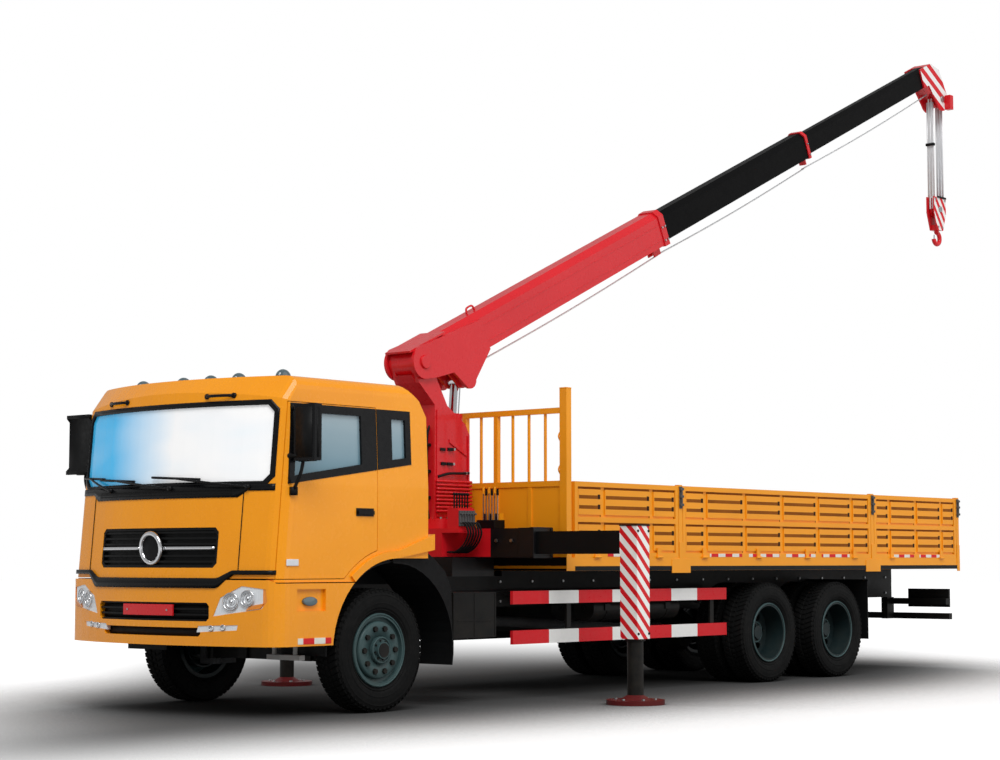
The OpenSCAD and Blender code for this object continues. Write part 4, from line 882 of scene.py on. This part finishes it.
TURN_LAMP = ((1.0, 0.837), (1.122, 0.853), (1.15, 0.893), (1.03, 0.872))
for side, name in SIDES:
    bowls, fog = Shape(), Shape()
    for y, z, r in ((0.87, 0.905, 0.066), (1.015, 0.93, 0.06)):
        x = bumper_x(y)
        for scale, back in ((1.0, 0.0), (0.72, 0.01), (0.4, 0.016)):
            bowls.ring((x - back + 0.004, side * y, z), (1.0, side * 0.3, 0.0), r * scale, 0.006, 32, 8)
        bowls.rod((x - 0.03, side * (y - 0.006), z), (x + 0.006, side * (y + 0.002), z), 0.016, 0.012)
    bowls.done("headlamp_bowls_" + name, chrome, smooth=True)
    Shape().skin([[on_bumper(side * y, z, out) for y, z in TURN_LAMP] for out in (-0.012, 0.001)]).done(
        "headlamp_turn_" + name, amber_lens)
    for y, z in ((0.69, 0.698), (0.8, 0.705)):
        fog.ring((bumper_x(y), side * y, z), (1, side * 0.2, 0), 0.02, 0.005, 24, 8)
    fog.done("fog_lamp_rims_" + name, chrome, smooth=True)

# Blank plate in front of the lower grille, held by two screws

PLATE_SECTION = ((0.79, -0.012), (0.79, 0.006), (0.878, 0.006), (0.878, -0.012))
Shape().skin([[on_bumper(y, z, out) for z, out in PLATE_SECTION] for y in spread(-0.3, 0.3, 12)]).done(
    "front_plate", crane_paint, bevel=0.003)
screws = Shape()
for y in (-0.24, 0.24):
    x = bumper_x(y) + 0.006
    screws.rod((x - 0.004, y, 0.834), (x + 0.004, y, 0.834), 0.011, 0.009, 6)
screws.done("front_plate_screws", steel)

# Door and quarter windows: black seals on the skin, handle cups, marker lamps and reflectors

SEAL_TOP, SEAL_FOOT = 2.447, -0.012


def sill(x, rise):
    """A point on the windows' lower edge, which falls towards the front, or a little above it."""
    return (x, WAIST_Z + (1.13 - x) * 0.14 + rise)


for side, name in SIDES:
    def on_side(u, v, out):
        return at(u, side * (side_y(v) + out), v)

    for label, body, inner, outer in (
            ("door", "door_" + name,
                [(1.03, sill(1.065, 0.05)[1]), (0.99, 2.38), (0.28, 2.38), (0.28, sill(0.23, 0.045)[1])],
                [sill(1.088, SEAL_FOOT), (1.052, SEAL_TOP), (0.1035, SEAL_TOP), sill(0.1035, SEAL_FOOT)]),
            ("quarter", "chassis",
                [sill(-0.075, 0.05), (-0.075, 2.372), (-0.238, 2.372), sill(-0.238, 0.05)],
                [sill(0.0965, SEAL_FOOT), (0.0965, SEAL_TOP), (-0.3, SEAL_TOP), sill(-0.3, SEAL_FOOT)])):
        seal = skin_band(steps_round(inner, 8), steps_round(outer, 8), on_side)
        if label == "door":
            seal.box((0.92, side * 1.195, sill(0.92, 0.02)[1]), (0.945, side * 1.2, 2.4))
        seal.done(label + "_window_seal_" + name, trim_black, body)
    Shape().box((0.15, side * 1.238, 1.575), (0.35, side * 1.246, 1.64)).done(
        "door_handle_cup_" + name, trim_black, "door_" + name, bevel=0.003)
    Shape().box((0.985, side * 1.238, 1.18), (1.112, side * 1.25, 1.232)).done(
        "side_turn_lamp_" + name, clear_lens, "door_" + name, bevel=0.005)
    Shape().box((0.64, side * 1.258, 0.575), (1.0, side * 1.264, 0.622)).done(
        "skirt_reflector_" + name, tape_stripes, bevel=0.002)
    oval = [(0.86 + 0.075 * u, 0.905 + 0.036 * v) for u, v in circle(1.0, 24)]
    Shape().plate(oval, side * 1.228, side * 1.256).done(
        "step_lamp_" + name, marker_lens, smooth=True, bevel=0.004)


# Wheels: nuts, rings of painted highlight on the rims and round the hubs, tread blocks and wall ribs

AXLE_Z = TYRE_R = 0.5
BLOCKS_ROUND = 60


def lug_shape(length, width, height, slant):
    """A tread block lying along Z with its foot at X = 0, slanted across the tread."""
    lug = Shape()
    for v in bmesh.ops.create_cube(lug.bm, size=1.0)["verts"]:
        x, y, z = v.co
        taper = 0.86 if x > 0 else 1.0
        v.co = ((x + 0.5) * height - 0.01, y * width * taper + slant * z * length, z * length * taper)
    return lug


def nut_ring(r, h, count, radius, start=0.0):
    return repeated(ring_tree, nut_shape(r, h), Count=count, Radius=radius, Start=start)


def lug_ring(lug, radius=TYRE_R, start=0.0):
    return repeated(ring_tree, lug_shape(*lug), Count=BLOCKS_ROUND, Radius=radius, Start=start)


rear_nuts = nut_ring(0.016, 0.03, 10, 0.143)
front_nuts = nut_ring(0.025, 0.02, 10, 0.178)
cap_nuts = nut_ring(0.009, 0.014, 8, 0.078, 0.2)
shoulder_row = lug_ring((0.024, 0.026, 0.012, 0.0), 0.478)
tread_rows = (
    (lug_ring((0.088, 0.04, 0.0095, 0.35)), -0.074),
    (lug_ring((0.088, 0.04, 0.0095, -0.35)), 0.074),
    (lug_ring((0.04, 0.03, 0.0095, 0.0), TYRE_R, 0.05), 0.0),
    (shoulder_row, 0.122),
    (shoulder_row, -0.122))

# Radius and offset of half a tyre, with its tread sunk between the blocks and ribs on its wall
TYRE_HALF = [(0.2815, 0.106), (0.302, 0.107), (0.318, 0.118), (0.325, 0.1262), (0.332, 0.1225),
    (0.345, 0.133), (0.372, 0.1385), (0.3785, 0.1415), (0.385, 0.139), (0.41, 0.14), (0.44, 0.1365),
    (0.446, 0.1385), (0.452, 0.1345), (0.47, 0.128), (0.484, 0.116), (0.4895, 0.1)]
TYRE_SECTION = TYRE_HALF + [(r, -v) for r, v in reversed(TYRE_HALF)]
HUB_COVER = ((0.1015, 0.118), (0.218, 0.118), (0.23, 0.11), (0.238, 0.066), (0.1015, 0.066))


def turned(shape, section, x, y, side, steps=72):
    """Turns a closed section of radius and offset about a wheel's axle."""
    return shape.skin([[at(x + r * u, y + side * v, AXLE_Z + r * w) for r, v in section]
        for u, w in circle(1.0, steps)], True)


def wheel_place(x, y, side):
    """Turns a ring about +Z so that +Z becomes the outside of a wheel."""
    return Matrix.Translation(at(x, y, AXLE_Z)) @ Matrix.Rotation(-side * pi / 2, 4, "X")


wheels = (("front_wheel_", "front_", 0.0, 1.05, (0.0,), front_nuts, 0.118, 0.138),
    ("rear_wheels_1_", "rear_1_", -5.65, 0.91, (-0.16, 0.16), rear_nuts, 0.024, 0.118),
    ("rear_wheels_2_", "rear_2_", -6.95, 0.91, (-0.16, 0.16), rear_nuts, 0.024, 0.118))
for side, name in SIDES:
    for body, label, x, y, offsets, nuts, nut_depth, cap_depth in wheels:
        body += name
        tyres = Shape()
        for offset in offsets:
            tyre_y = side * (y + offset)
            turned(tyres, TYRE_SECTION, x, tyre_y, side)
            for mesh, row in tread_rows:
                tyres.copy(mesh, wheel_place(x, tyre_y, 1) @ Matrix.Scale(0.9995, 4)
                    @ Matrix.Translation((0, 0, row)))
        shown = tyres.done("tyre_tread_" + label + name, tyre_rubber, body)
        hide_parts("tyre_" + label + name)
        bolts = Shape()
        for mesh, depth in ((nuts, nut_depth), (cap_nuts, cap_depth)):
            bolts.copy(mesh, wheel_place(x, side * y, side) @ Matrix.Translation((0, 0, depth)))
        bolts.done("wheel_nuts_" + label + name, black_paint, body)
        # Lighter teal rings on the rim's edge and round the hub are painted highlights
        rims = Shape()
        rims.ring((x, side * (y + offsets[-1] + 0.1176), AXLE_Z), (0, 1, 0), 0.289, 0.008, 64, 8)
        rims.ring((x, side * (y + cap_depth + 0.004), AXLE_Z), (0, 1, 0), 0.1, 0.008, 40, 8)
        rims.done("wheel_rims_" + label + name, hub_paint_and_rim_highlight, body, True)
        if label == "front_":
            turned(Shape(), HUB_COVER, x, side * y, side).done("hub_cover_" + name, hub_paint_and_rim_highlight, body, True)
            low, high = side * (y + 0.165), side * (y + 0.174)
            Shape().rod((x, low, AXLE_Z), (x, high, AXLE_Z), 0.058, None, 28).done(
                "hub_centre_" + name, black_paint, body)

# Wheel arches: a liner with an inner wall, the fender's side and a plate ahead of the wheel

ARCH_X = -0.12
FENDER_EDGE = [(-0.132, 1.236), (-0.556, 1.286), (-0.64, 1.236), (-0.775, 1.13), (-0.85, 0.98),
    (-0.866, 0.7), (-0.866, 0.378)]
ARCH_FRONT = ((0.384, 1.028), (0.645, 0.806), (0.645, 0.47), (0.633, 0.47), (0.633, 0.8), (0.376, 1.019))
for side, name in SIDES:
    liner = Shape()
    liner.plate(arc(ARCH_X, AXLE_Z, 0.716, 46, 150, 26) + arc(ARCH_X, AXLE_Z, 0.704, 150, 46, 26),
        side * 0.7, side * 1.205)
    liner.plate(arc(ARCH_X, AXLE_Z, 0.716, 47, 133, 24), side * 0.692, side * 0.702)
    liner.done("wheel_arch_liner_" + name, black_plastic)
    Shape().plate(arc(ARCH_X, AXLE_Z, 0.714, 190, 91, 24) + FENDER_EDGE, side * 1.15, side * 1.186).done(
        "fender_side_" + name, black_plastic, bevel=0.004)
    Shape().plate(ARCH_FRONT, side * 0.7, side * 1.205).done("wheel_arch_front_" + name, black_plastic)


# Crane: winch drum between the boom's lugs, and the hoist rope

WINCH_S, WINCH_N = 0.78, -0.262
COIL_R, COIL_HALF, COIL_STEPS = 0.05, 0.05, 160
Shape().rod(boom_at(WINCH_S, -0.06, WINCH_N), boom_at(WINCH_S, 0.06, WINCH_N), 0.044, None, 32).done(
    "winch_drum", crane_paint, "boom", True, 0.003)
coil = []
for i, y in enumerate(spread(-COIL_HALF, COIL_HALF, COIL_STEPS)):
    x, y, z = boom_at(WINCH_S, y, WINCH_N)
    coil.append((x + COIL_R * cos(i * pi / 10), y, z + COIL_R * sin(i * pi / 10)))
Shape().tube(coil, 0.0065, 6).done("winch_coil", rope_steel, "boom", True)

# The rope in three runs side by side, one on each section, so that they pass each other as the boom draws in

ROPE_SAG = 0.022
for name, body, start, end in (
        ("hoist_rope_base", "boom", (0.8, 0.019, -0.318), (4.03, 0.019, -0.304)),
        ("hoist_rope_middle", "stage_1", (4.03, 0.0, -0.304), (7.23, 0.0, -0.304)),
        ("hoist_rope_end", "stage_2", (7.21, -0.019, -0.304), (10.5, -0.019, -0.29))):
    line = []
    for t in spread(0.0, 1.0, 20):
        s, y, n = (a + (b - a) * t for a, b in zip(start, end))
        line.append(boom_at(s, y, n - ROPE_SAG * sin(pi * t)))
    Shape().tube(line, 0.008, 8).done(name, rope_steel, body, True)


def studs(shape, places, low, high, r, r_end, sides=6):
    """Round heads across Y on both sides of the crane, at places in X and Z."""
    for side in (1, -1):
        for x, z in places:
            shape.rod((x, side * low, z), (x, side * high, z), r, r_end, sides)
    return shape


# Pins with keeper plates, and a collar of bolts round the slewing ring

studs(Shape(), [(PIVOT_X, PIVOT_Z)], 0.186, 0.204, 0.066, 0.06, 32).done(
    "boom_pin_caps", crane_paint, "boom", bevel=0.003)
pins = Shape()
for side in (1, -1):
    pins.rod((-2.12, side * 0.149, 1.701), (-2.12, side * 0.162, 1.701), 0.052, 0.048, 24)
    pins.box((-2.19, side * 0.15, 1.64), (-2.05, side * 0.157, 1.668))
pins.done("cylinder_pin_caps", steel, "crane_column", bevel=0.002)
Shape().copy(nut_ring(0.013, 0.018, 24, 0.252), Matrix.Translation(at(-2.0, 0, 1.6))).done(
    "slew_ring_bolts", steel, "crane_column")

# Ribs, hoses with clamps, pipes and fittings on the column

COLUMN_Y = 0.15
ribs, pipes, fittings = Shape(), Shape(), Shape()
for side in (1, -1):
    for thick, outline in (
            (0.014, ((-2.235, 1.62), (-2.215, 1.62), (-2.215, 2.375), (-2.235, 2.375))),
            (0.01, ((-1.945, 1.62), (-1.79, 1.62), (-1.79, 2.6), (-1.945, 2.44))),
            (0.012, ((-2.2, 2.18), (-1.96, 2.3), (-1.96, 2.335), (-2.2, 2.215))),
            (0.012, ((-2.2, 1.86), (-1.96, 1.86), (-1.96, 1.89), (-2.2, 1.89)))):
        ribs.plate(outline, side * COLUMN_Y, side * (COLUMN_Y + thick))
    for z in spread(1.672, 1.944, 8):
        pipes.tube(curve_through([(-1.8, side * 0.152, z), (-1.82, side * 0.178, z),
            (-2.215, side * 0.178, z), (-2.24, side * COLUMN_Y, z)]), 0.0125, 8)
    fittings.tube(curve_through([(-1.8, side * 0.165, 1.985), (-1.93, side * 0.18, 2.015),
        (-2.1, side * 0.18, 2.022), (-2.215, side * 0.172, 2.03)]), 0.012, 8)
    for x, z in ((-1.86, 2.235), (-1.96, 2.24), (-1.87, 2.105), (-1.95, 2.105)):
        fittings.box((x - 0.03, side * 0.152, z - 0.014), (x + 0.03, side * 0.176, z + 0.014))
ribs.done("column_ribs", crane_paint, "crane_column", bevel=0.003)
pipes.done("column_pipes", crane_paint, "crane_column", True)
fittings.done("column_hose_fittings", hose_rubber, "crane_column")
studs(Shape(), ((-1.995, 2.105), (-2.005, 2.24), (-2.17, 2.026)), 0.156, 0.186, 0.016, 0.014).done(
    "column_unions", steel, "crane_column")
HOSE_LINE = ((-1.772, 1.6), (-1.742, 1.75), (-1.74, 2.1), (-1.742, 2.36), (-1.782, 2.46))
hoses, clamps = Shape(), Shape()
for y in spread(-0.08, 0.08, 4):
    hoses.tube(curve_through([(x, y, z) for x, z in HOSE_LINE]), 0.011, 8)
hoses.done("column_hoses", hose_rubber, "crane_column", True)
for z in (1.78, 2.02, 2.26):
    clamps.box((-1.775, -0.104, z), (-1.738, 0.104, z + 0.028))
clamps.done("hose_clamps", black_paint, "crane_column", bevel=0.003)

# Boom: side strips, bolts round the mouths and a lifting eye

strips = Shape()
for side in (1, -1):
    for n in (-0.14, 0.02):
        corners = [boom_at(s, 0, n + d)[::2] for s, d in ((0.93, 0), (4.02, 0), (4.02, -0.01), (0.93, -0.01))]
        strips.plate(corners, side * 0.134, side * 0.138)
strips.done("boom_side_ribs", crane_paint, "boom", bevel=0.001)
studs(Shape(), [boom_at(s, 0, n)[::2] for s in (4.06, 4.11) for n in (-0.16, -0.02)], 0.14, 0.158,
    0.014, 0.012).done("boom_mouth_bolts", steel, "boom")
studs(Shape(), [boom_at(7.235, 0, n)[::2] for n in (-0.15, -0.02)], 0.124, 0.138, 0.012, 0.01).done(
    "stage_mouth_bolts", steel, "stage_1")
Shape().tube(curve_through([boom_at(s, 0.0, n) for s, n in
    ((0.92, 0.15), (0.94, 0.196), (1.02, 0.196), (1.04, 0.15))]), 0.01, 8).done(
    "boom_lift_eyes", crane_paint, "boom", True)

# Consoles, levers with knobs, valve banks and their hoses at both sides of the base

CONSOLE_X = -2.13
LEVER_XS = [-1.91 + i * 0.036 for i in range(6)]
for side, name in SIDES:
    Shape().box((-2.205, side * 0.4, 1.509), (-2.06, side * 0.62, 1.59)).done(
        "console_" + name, black_paint, bevel=0.006)
    rods, knobs, marks = Shape(), Shape(), Shape()
    for i in range(6):
        y = side * (0.425 + i * 0.034)
        top = 1.84 - 0.018 * (i % 2)
        grip, label = (knobs, marks) if i % 2 else (marks, knobs)
        rods.rod((CONSOLE_X, y, 1.588), (CONSOLE_X, y, top), 0.006, None, 8)
        grip.rod((CONSOLE_X, y, top - 0.008), (CONSOLE_X, y, top + 0.052), 0.013, 0.01, 10)
        label.box((-2.2, y - 0.012, 1.59), (-2.15, y + 0.012, 1.65))
    rods.done("console_levers_" + name, steel)
    knobs.done("console_knobs_" + name, black_plastic)
    marks.done("console_marks_" + name, bed_paint)
    balls, valves, hoses = Shape(), Shape(), Shape()
    for x in LEVER_XS:
        balls.ball((x, side * 0.425, 1.818), (0.016, 0.016, 0.016), 12, 8)
        valves.box((x - 0.014, side * 0.49, 1.53), (x + 0.014, side * 0.505, 1.67))
        for z in (1.56, 1.64):
            valves.rod((x, side * 0.505, z), (x, side * 0.53, z), 0.01, None, 8)
        hoses.tube(curve_through([(x, side * 0.528, 1.56), (x, side * 0.565, 1.545),
            (x - 0.02, side * 0.575, 1.46), (x - 0.04, side * 0.5, 1.36), (x - 0.04, side * 0.4, 1.3),
            (x - 0.04, side * 0.31, 1.3)]), 0.009, 8)
    balls.done("lever_knobs_" + name, black_plastic, smooth=True)
    valves.done("valve_bank_" + name, engine_iron, bevel=0.002)
    hoses.done("valve_hoses_" + name, hose_rubber, smooth=True)

# Hook: further falls beside those of the source, the hoist limit's weight, latch and nut, pins and bars,
# and the weight and pins at the boom's head

HOOK_X, HOOK_Z = -11.40837, 5.32147
BLOCK_Z, HEAD_PIN_Z = 5.6915, 7.11147
falls = Shape()
for x in (HOOK_X - 0.113, HOOK_X + 0.113):
    for y in (-0.041, 0.0, 0.041):
        falls.rod((x, y, HOOK_Z + 0.525), (x, y, HOOK_Z + 1.745), 0.0095, None, 10)
falls.done("hook_falls_added", rope_steel, "hook", True)
Shape().box((HOOK_X + 0.098, -0.058, HOOK_Z + 1.18), (HOOK_X + 0.142, 0.058, HOOK_Z + 1.214)).done(
    "limit_weight", black_plastic, "hook", bevel=0.004)
latch = [(HOOK_X + x, 0, HOOK_Z + z) for x, z in ((0.058, 0.04), (0.064, -0.005), (0.055, -0.045))]
Shape().rod((HOOK_X, 0, HOOK_Z + 0.14), (HOOK_X, 0, HOOK_Z + 0.165), 0.048, 0.044, 6).tube(
    curve_through(latch), 0.008, 8).done("hook_latch", steel, "hook", True)
pins = studs(Shape(), [(HOOK_X, BLOCK_Z)], 0.055, 0.071, 0.04, 0.036, 24)
bolts = ((-0.12, 0.12), (0.12, 0.12), (-0.05, -0.23), (0.05, -0.23))
studs(pins, [(HOOK_X + x, BLOCK_Z + z) for x, z in bolts], 0.056, 0.067, 0.014, 0.012).done(
    "block_pins", steel, "hook", bevel=0.001)
bars = Shape()
for side in (1, -1):
    bars.box((HOOK_X - 0.146, side * 0.054, HOOK_Z + 0.512), (HOOK_X + 0.07, side * 0.068, HOOK_Z + 0.536))
bars.done("block_bars", black_plastic, "hook", bevel=0.002)
Shape().box((HOOK_X - 0.146, 0.112, 6.985), (HOOK_X - 0.062, 0.196, 7.17)).done(
    "head_weight", crane_paint, "stage_2", bevel=0.005)
studs(Shape(), [(HOOK_X, HEAD_PIN_Z)], 0.114, 0.128, 0.044, 0.04, 24).done(
    "head_pin_caps", steel, "stage_2", bevel=0.001)

# Bolts and a wear plate on the outrigger cases, rings on the jacks

JACK_X, JACK_Y = -2.13, 2.15
for side, name in SIDES:
    case = Shape()
    for x in (-2.205, -2.055):
        for z in (0.6, 1.475):
            case.rod((x, side * 2.239, z), (x, side * 2.25, z), 0.012, 0.01, 6)
    case.box((-2.225, side * 2.055, 1.519), (-2.035, side * 2.245, 1.532))
    case.done("jack_case_bolts_" + name, black_paint, "outrigger_" + name)
    Shape().ring((JACK_X, side * JACK_Y, 0.545), (0, 0, 1), 0.08, 0.01, 32, 8).done(
        "jack_collar_" + name, black_paint, "outrigger_" + name, True)
    bolts = Shape()
    for u, v in circle(0.17, 6):
        x, y = JACK_X + u, side * JACK_Y + v
        bolts.rod((x, y, 0.038), (x, y, 0.052), 0.016, 0.014, 6)
    bolts.done("foot_bolts_" + name, steel, "jack_" + name)
    bolts = Shape()
    for y in (0.7, 0.88):
        bolts.rod((-1.994, side * y, 1.4), (-1.978, side * y, 1.4), 0.018, 0.016, 6)
    bolts.done("housing_bolts_" + name, steel)
    mouth = Shape()
    for x in (JACK_X - 0.125, JACK_X + 0.125):
        mouth.box((x - 0.012, side * 0.955, 1.245), (x + 0.012, side * 1.135, 1.515))
    for z in (1.243, 1.503):
        mouth.box((-2.267, side * 1.085, z), (-1.993, side * 1.128, z + 0.016))
    mouth.done("housing_mouth_" + name, base_paint, bevel=0.003)


# Load bed: painted shade in the pressed slots and under the folds, darker painted shade at the slots' ends,
# reflective tape, latches and pockets of the posts

SIDE_Z, SIDE_H, EDGE, FIELD_GAP = 1.2505, 0.6855, 0.045, 0.042
ROW_H = (SIDE_H - 3 * EDGE) / 2
ROW_LOWS = (SIDE_Z + EDGE, SIDE_Z + 2 * EDGE + ROW_H)
DROPSIDES = ((-4.032, -2.448, 1), (-7.582, -4.108, 4), (-9.482, -7.658, 2))


def fields(start, end, wide):
    """Left and right ends of a pressed panel's fields, the half fields at its ends too."""
    width = (end - start - 2 * EDGE - (wide + 1) * FIELD_GAP) / (wide + 1)
    x = start + EDGE
    for i in range(wide + 2):
        w = width if 0 < i <= wide else width / 2
        yield x, x + w
        x += w + FIELD_GAP


def slot_heights(low):
    """Heights of the two slots in a row of fields."""
    return low + ROW_H / 3, low + 2 * ROW_H / 3


for side, name in SIDES:
    for k, panel in enumerate(DROPSIDES, 1):
        body = "dropside_%s_%d" % (name, k)
        shades, ends, tape = Shape(), Shape(), Shape()
        slot_y, fold_y = side * 1.2305, (side * 1.2225, side * 1.2245)
        for x0, x1 in fields(*panel):
            for low in ROW_LOWS:
                top = low + ROW_H
                for z in slot_heights(low):
                    shades.box((x0 + 0.022, slot_y, z - 0.017), (x1 - 0.022, side * 1.2358, z + 0.015))
                    ends.box((x0 + 0.021, slot_y, z - 0.018), (x0 + 0.056, side * 1.2366, z + 0.024))
                shades.box((x0 + 0.01, fold_y[0], top - 0.021), (x1 - 0.01, fold_y[1], top - 0.002))
                shades.box((x0 + 0.001, fold_y[0], low + 0.004), (x0 + 0.011, fold_y[1], top - 0.004))
            if x1 - x0 > 0.4:
                tape.box((x0 + 0.04, side * 1.2395, SIDE_Z + 0.008), (x1 - 0.04, side * 1.242, SIDE_Z + 0.04))
        shades.done(body + "_shades", slot_shade, body)
        ends.done(body + "_slot_ends", slot_end_shade, body)
        tape.done(body + "_tape", tape_stripes, body)
    latches, pockets = Shape(), Shape()
    for x, half in ((-4.07, 0.15), (-7.62, 0.15), (-9.52, 0.03)):
        latches.box((x - 0.022, side * 1.239, 1.72), (x + 0.022, side * 1.249, 1.93))
        latches.rod((x, side * 1.256, 1.74), (x, side * 1.256, 1.92), 0.01, None, 10)
        for z in (1.755, 1.835, 1.905):
            latches.box((x - 0.026, side * 1.244, z - 0.012), (x + 0.026, side * 1.266, z + 0.012))
        pockets.plate([(x - half, 1.106), (x + half, 1.106), (x + half, 1.235), (x + 0.029, 1.245),
            (x + 0.029, 1.4), (x - 0.029, 1.4), (x - 0.029, 1.245), (x - half, 1.235)],
            side * 1.239, side * 1.247)
    latches.done("post_latches_" + name, engine_iron, bevel=0.002)
    pockets.done("post_pockets_" + name, bed_paint, bevel=0.002)
    row = repeated(row_tree, nut_shape(0.013, 0.014), Count=16, Start=(0, 0, 0), Step=(0.46, 0, 0))
    bolts = Shape()
    turn = Matrix.Rotation(-side * pi / 2, 4, "X")
    for z in (0.85, 1.03):
        bolts.copy(row, Matrix.Translation(at(-9.25, side * 0.429, z)) @ turn)
    bolts.done("rail_bolts_" + name, steel)
    caps = Shape()
    for z in (2.4, 2.1):
        caps.tube(curve_through([(-2.365, side * 1.155, z), (-2.335, side * 1.145, z - 0.06),
            (-2.365, side * 1.155, z - 0.12)]), 0.008, 8)
    caps.box((-2.402, side * 1.158, 2.768), (-2.328, side * 1.242, 2.78))
    caps.done("headboard_caps_" + name, bed_paint, bevel=0.003)
    Shape().box((-9.54, side * 1.2395, 1.131), (-2.45, side * 1.2432, 1.172)).done(
        "bed_edge_" + name, black_paint)

ribs = Shape()
for y in (-0.8, -0.4, 0.0, 0.4, 0.8):
    ribs.box((-2.351, y - 0.022, 1.262), (-2.336, y + 0.022, 1.884))
for y in (-0.387, 0.387):
    ribs.box((-2.388, y - 0.024, 1.93), (-2.342, y + 0.024, 2.56))
ribs.done("headboard_ribs", bed_paint, bevel=0.003)
# Black sheets across the headboard's foot, with a thin line of bed paint left between them, are painted shade
foot = Shape()
for low, high in ((1.176, 1.252), (1.131, 1.15)):
    foot.box((-2.332, -1.236, low), (-2.327, 1.236, high))
foot.done("headboard_foot", black_paint)
ribs = Shape()
for y in spread(-1.05, 1.05, 14):
    ribs.box((-9.49, y - 0.006, 1.2555), (-2.45, y + 0.006, 1.2605))
ribs.done("floor_ribs", bed_paint)
# Painted shade in the tailgate's slots and under its folds
shades = Shape()
for y0, y1 in fields(-1.187, 1.187, 3):
    for low in ROW_LOWS:
        top = low + ROW_H
        for z in slot_heights(low):
            shades.box((-9.5458, y0 + 0.022, z - 0.017), (-9.5405, y1 - 0.022, z + 0.015))
        shades.box((-9.5345, y0 + 0.01, top - 0.021), (-9.5325, y1 - 0.01, top - 0.002))
shades.done("tailgate_shades", slot_shade, "tailgate")

# Chassis: prop shaft, tank straps, pipes along the rail, rear lamp fields, ribs on the battery box

shaft = Shape().rod((-0.86, 0, 0.76), (-5.41, 0, 0.505), 0.05, 0.05, 20)
for x, z in ((-0.9, 0.758), (-5.36, 0.508)):
    shaft.rod((x - 0.05, 0, z), (x + 0.05, 0, z), 0.078, 0.078, 20)
shaft.done("prop_shaft", engine_iron, smooth=True)
TANK_Z = 0.78
straps = Shape()
for y in (0.59, 0.86):
    for x in (-4.2, -3.72, -3.25):
        straps.ring((x, y, TANK_Z), (1, 0, 0), 0.121, 0.006, 32, 6)
    for x in (-4.402, -3.048):
        straps.rod((x - 0.006, y, TANK_Z), (x + 0.006, y, TANK_Z), 0.02, None, 8)
straps.done("tank_straps", black_paint, smooth=True)
pipes = Shape()
for z in (0.905, 0.93, 0.955):
    line = [(-0.7, 0.44, z), (-2.4, 0.44, z), (-2.6, 0.445, z), (-5.0, 0.44, z)]
    pipes.tube(curve_through(line), 0.008, 6)
pipes.done("rail_pipes", hose_rubber, smooth=True)
for side, name in SIDES:
    for label, material, low, high in (("turn", amber_lens, 0.93, 1.11), ("reverse", clear_lens, 0.68, 0.78)):
        Shape().box((-9.511, side * low, 0.735), (-9.503, side * high, 0.79)).done(
            "rear_%s_lens_%s" % (label, name), material, bevel=0.003)
ribs = Shape()
for x in (-1.55, -1.28, -1.01):
    ribs.box((x, 1.066, 0.57), (x + 0.01, 1.074, 0.94))
ribs.box((-1.5, 1.066, 0.7), (-1.06, 1.073, 0.715))
ribs.done("battery_box_ribs", black_paint, bevel=0.002)

# Cabin: padded seats on pedestals, dashboard, steering wheel


def pad(low, high, lean, round_off=0.32):
    """A crowned cushion between two corners, leaning back about its foot."""
    low, high = Vector(low), Vector(high)
    shape = Shape()
    bmesh.ops.create_cube(shape.bm, size=2.0)
    bmesh.ops.subdivide_edges(shape.bm, edges=list(shape.bm.edges), cuts=7, use_grid_fill=True)
    middle, half = (low + high) / 2, (high - low) / 2
    for v in shape.bm.verts:
        p = v.co.lerp(v.co.normalized() * 1.25, round_off)
        q = Vector(m + h * max(-1.0, min(1.0, c)) for m, h, c in zip(middle, half, p))
        q.x -= lean * (q.z - low.z)
        v.co = q + OFFSET
    return shape


for label, y0, y1 in (("driver", 0.345, 0.875), ("mate", -0.875, -0.345)):
    for part, low, high, lean in (("cushion", (0.0, y0, 1.56), (0.495, y1, 1.722), 0.0),
            ("back", (-0.105, y0 + 0.02, 1.66), (0.035, y1 - 0.02, 2.24), 0.14),
            ("headrest", (-0.18, y0 + 0.13, 2.25), (-0.085, y1 - 0.13, 2.385), 0.1)):
        cushion = pad(low, high, lean).done("seat_%s_%s" % (part, label), seat_cloth, smooth=True)
        smooth = cushion.modifiers.new("round", "SUBSURF")
        smooth.levels = smooth.render_levels = 1
board = Shape()
for y0, y1 in ((0.42, 0.8), (-0.8, -0.42)):
    board.plate(((0.03, 1.302), (0.4, 1.302), (0.44, 1.565), (0.0, 1.565)), y0, y1)
board.box((-0.048, -0.298, 1.302), (0.418, 0.298, 1.628))
board.plate(((1.02, 1.335), (1.16, 1.335), (1.16, 1.798), (1.085, 1.798), (0.985, 1.7)), -0.92, 0.92)
dashboard = board.done("dashboard", dark_grey, bevel=0.012)
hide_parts("cab_interior")

WHEEL_TILT = radians(35)
axis = Vector((-sin(WHEEL_TILT), 0, cos(WHEEL_TILT)))
hub = Vector((0.8, 0.61, 1.81))
wheel = Shape().ring(hub, axis, 0.205, 0.015, 40, 10)
across = Vector((0, 1, 0))
down = axis.cross(across)
for a in (90, 210, 330):
    arm = across * cos(radians(a)) + down * sin(radians(a))
    wheel.rod(hub, hub + arm * 0.2, 0.012, 0.01, 8)
wheel.rod(hub - axis * 0.34, hub + axis * 0.02, 0.03, 0.045, 16)
wheel.done("steering_wheel", trim_black, smooth=True)
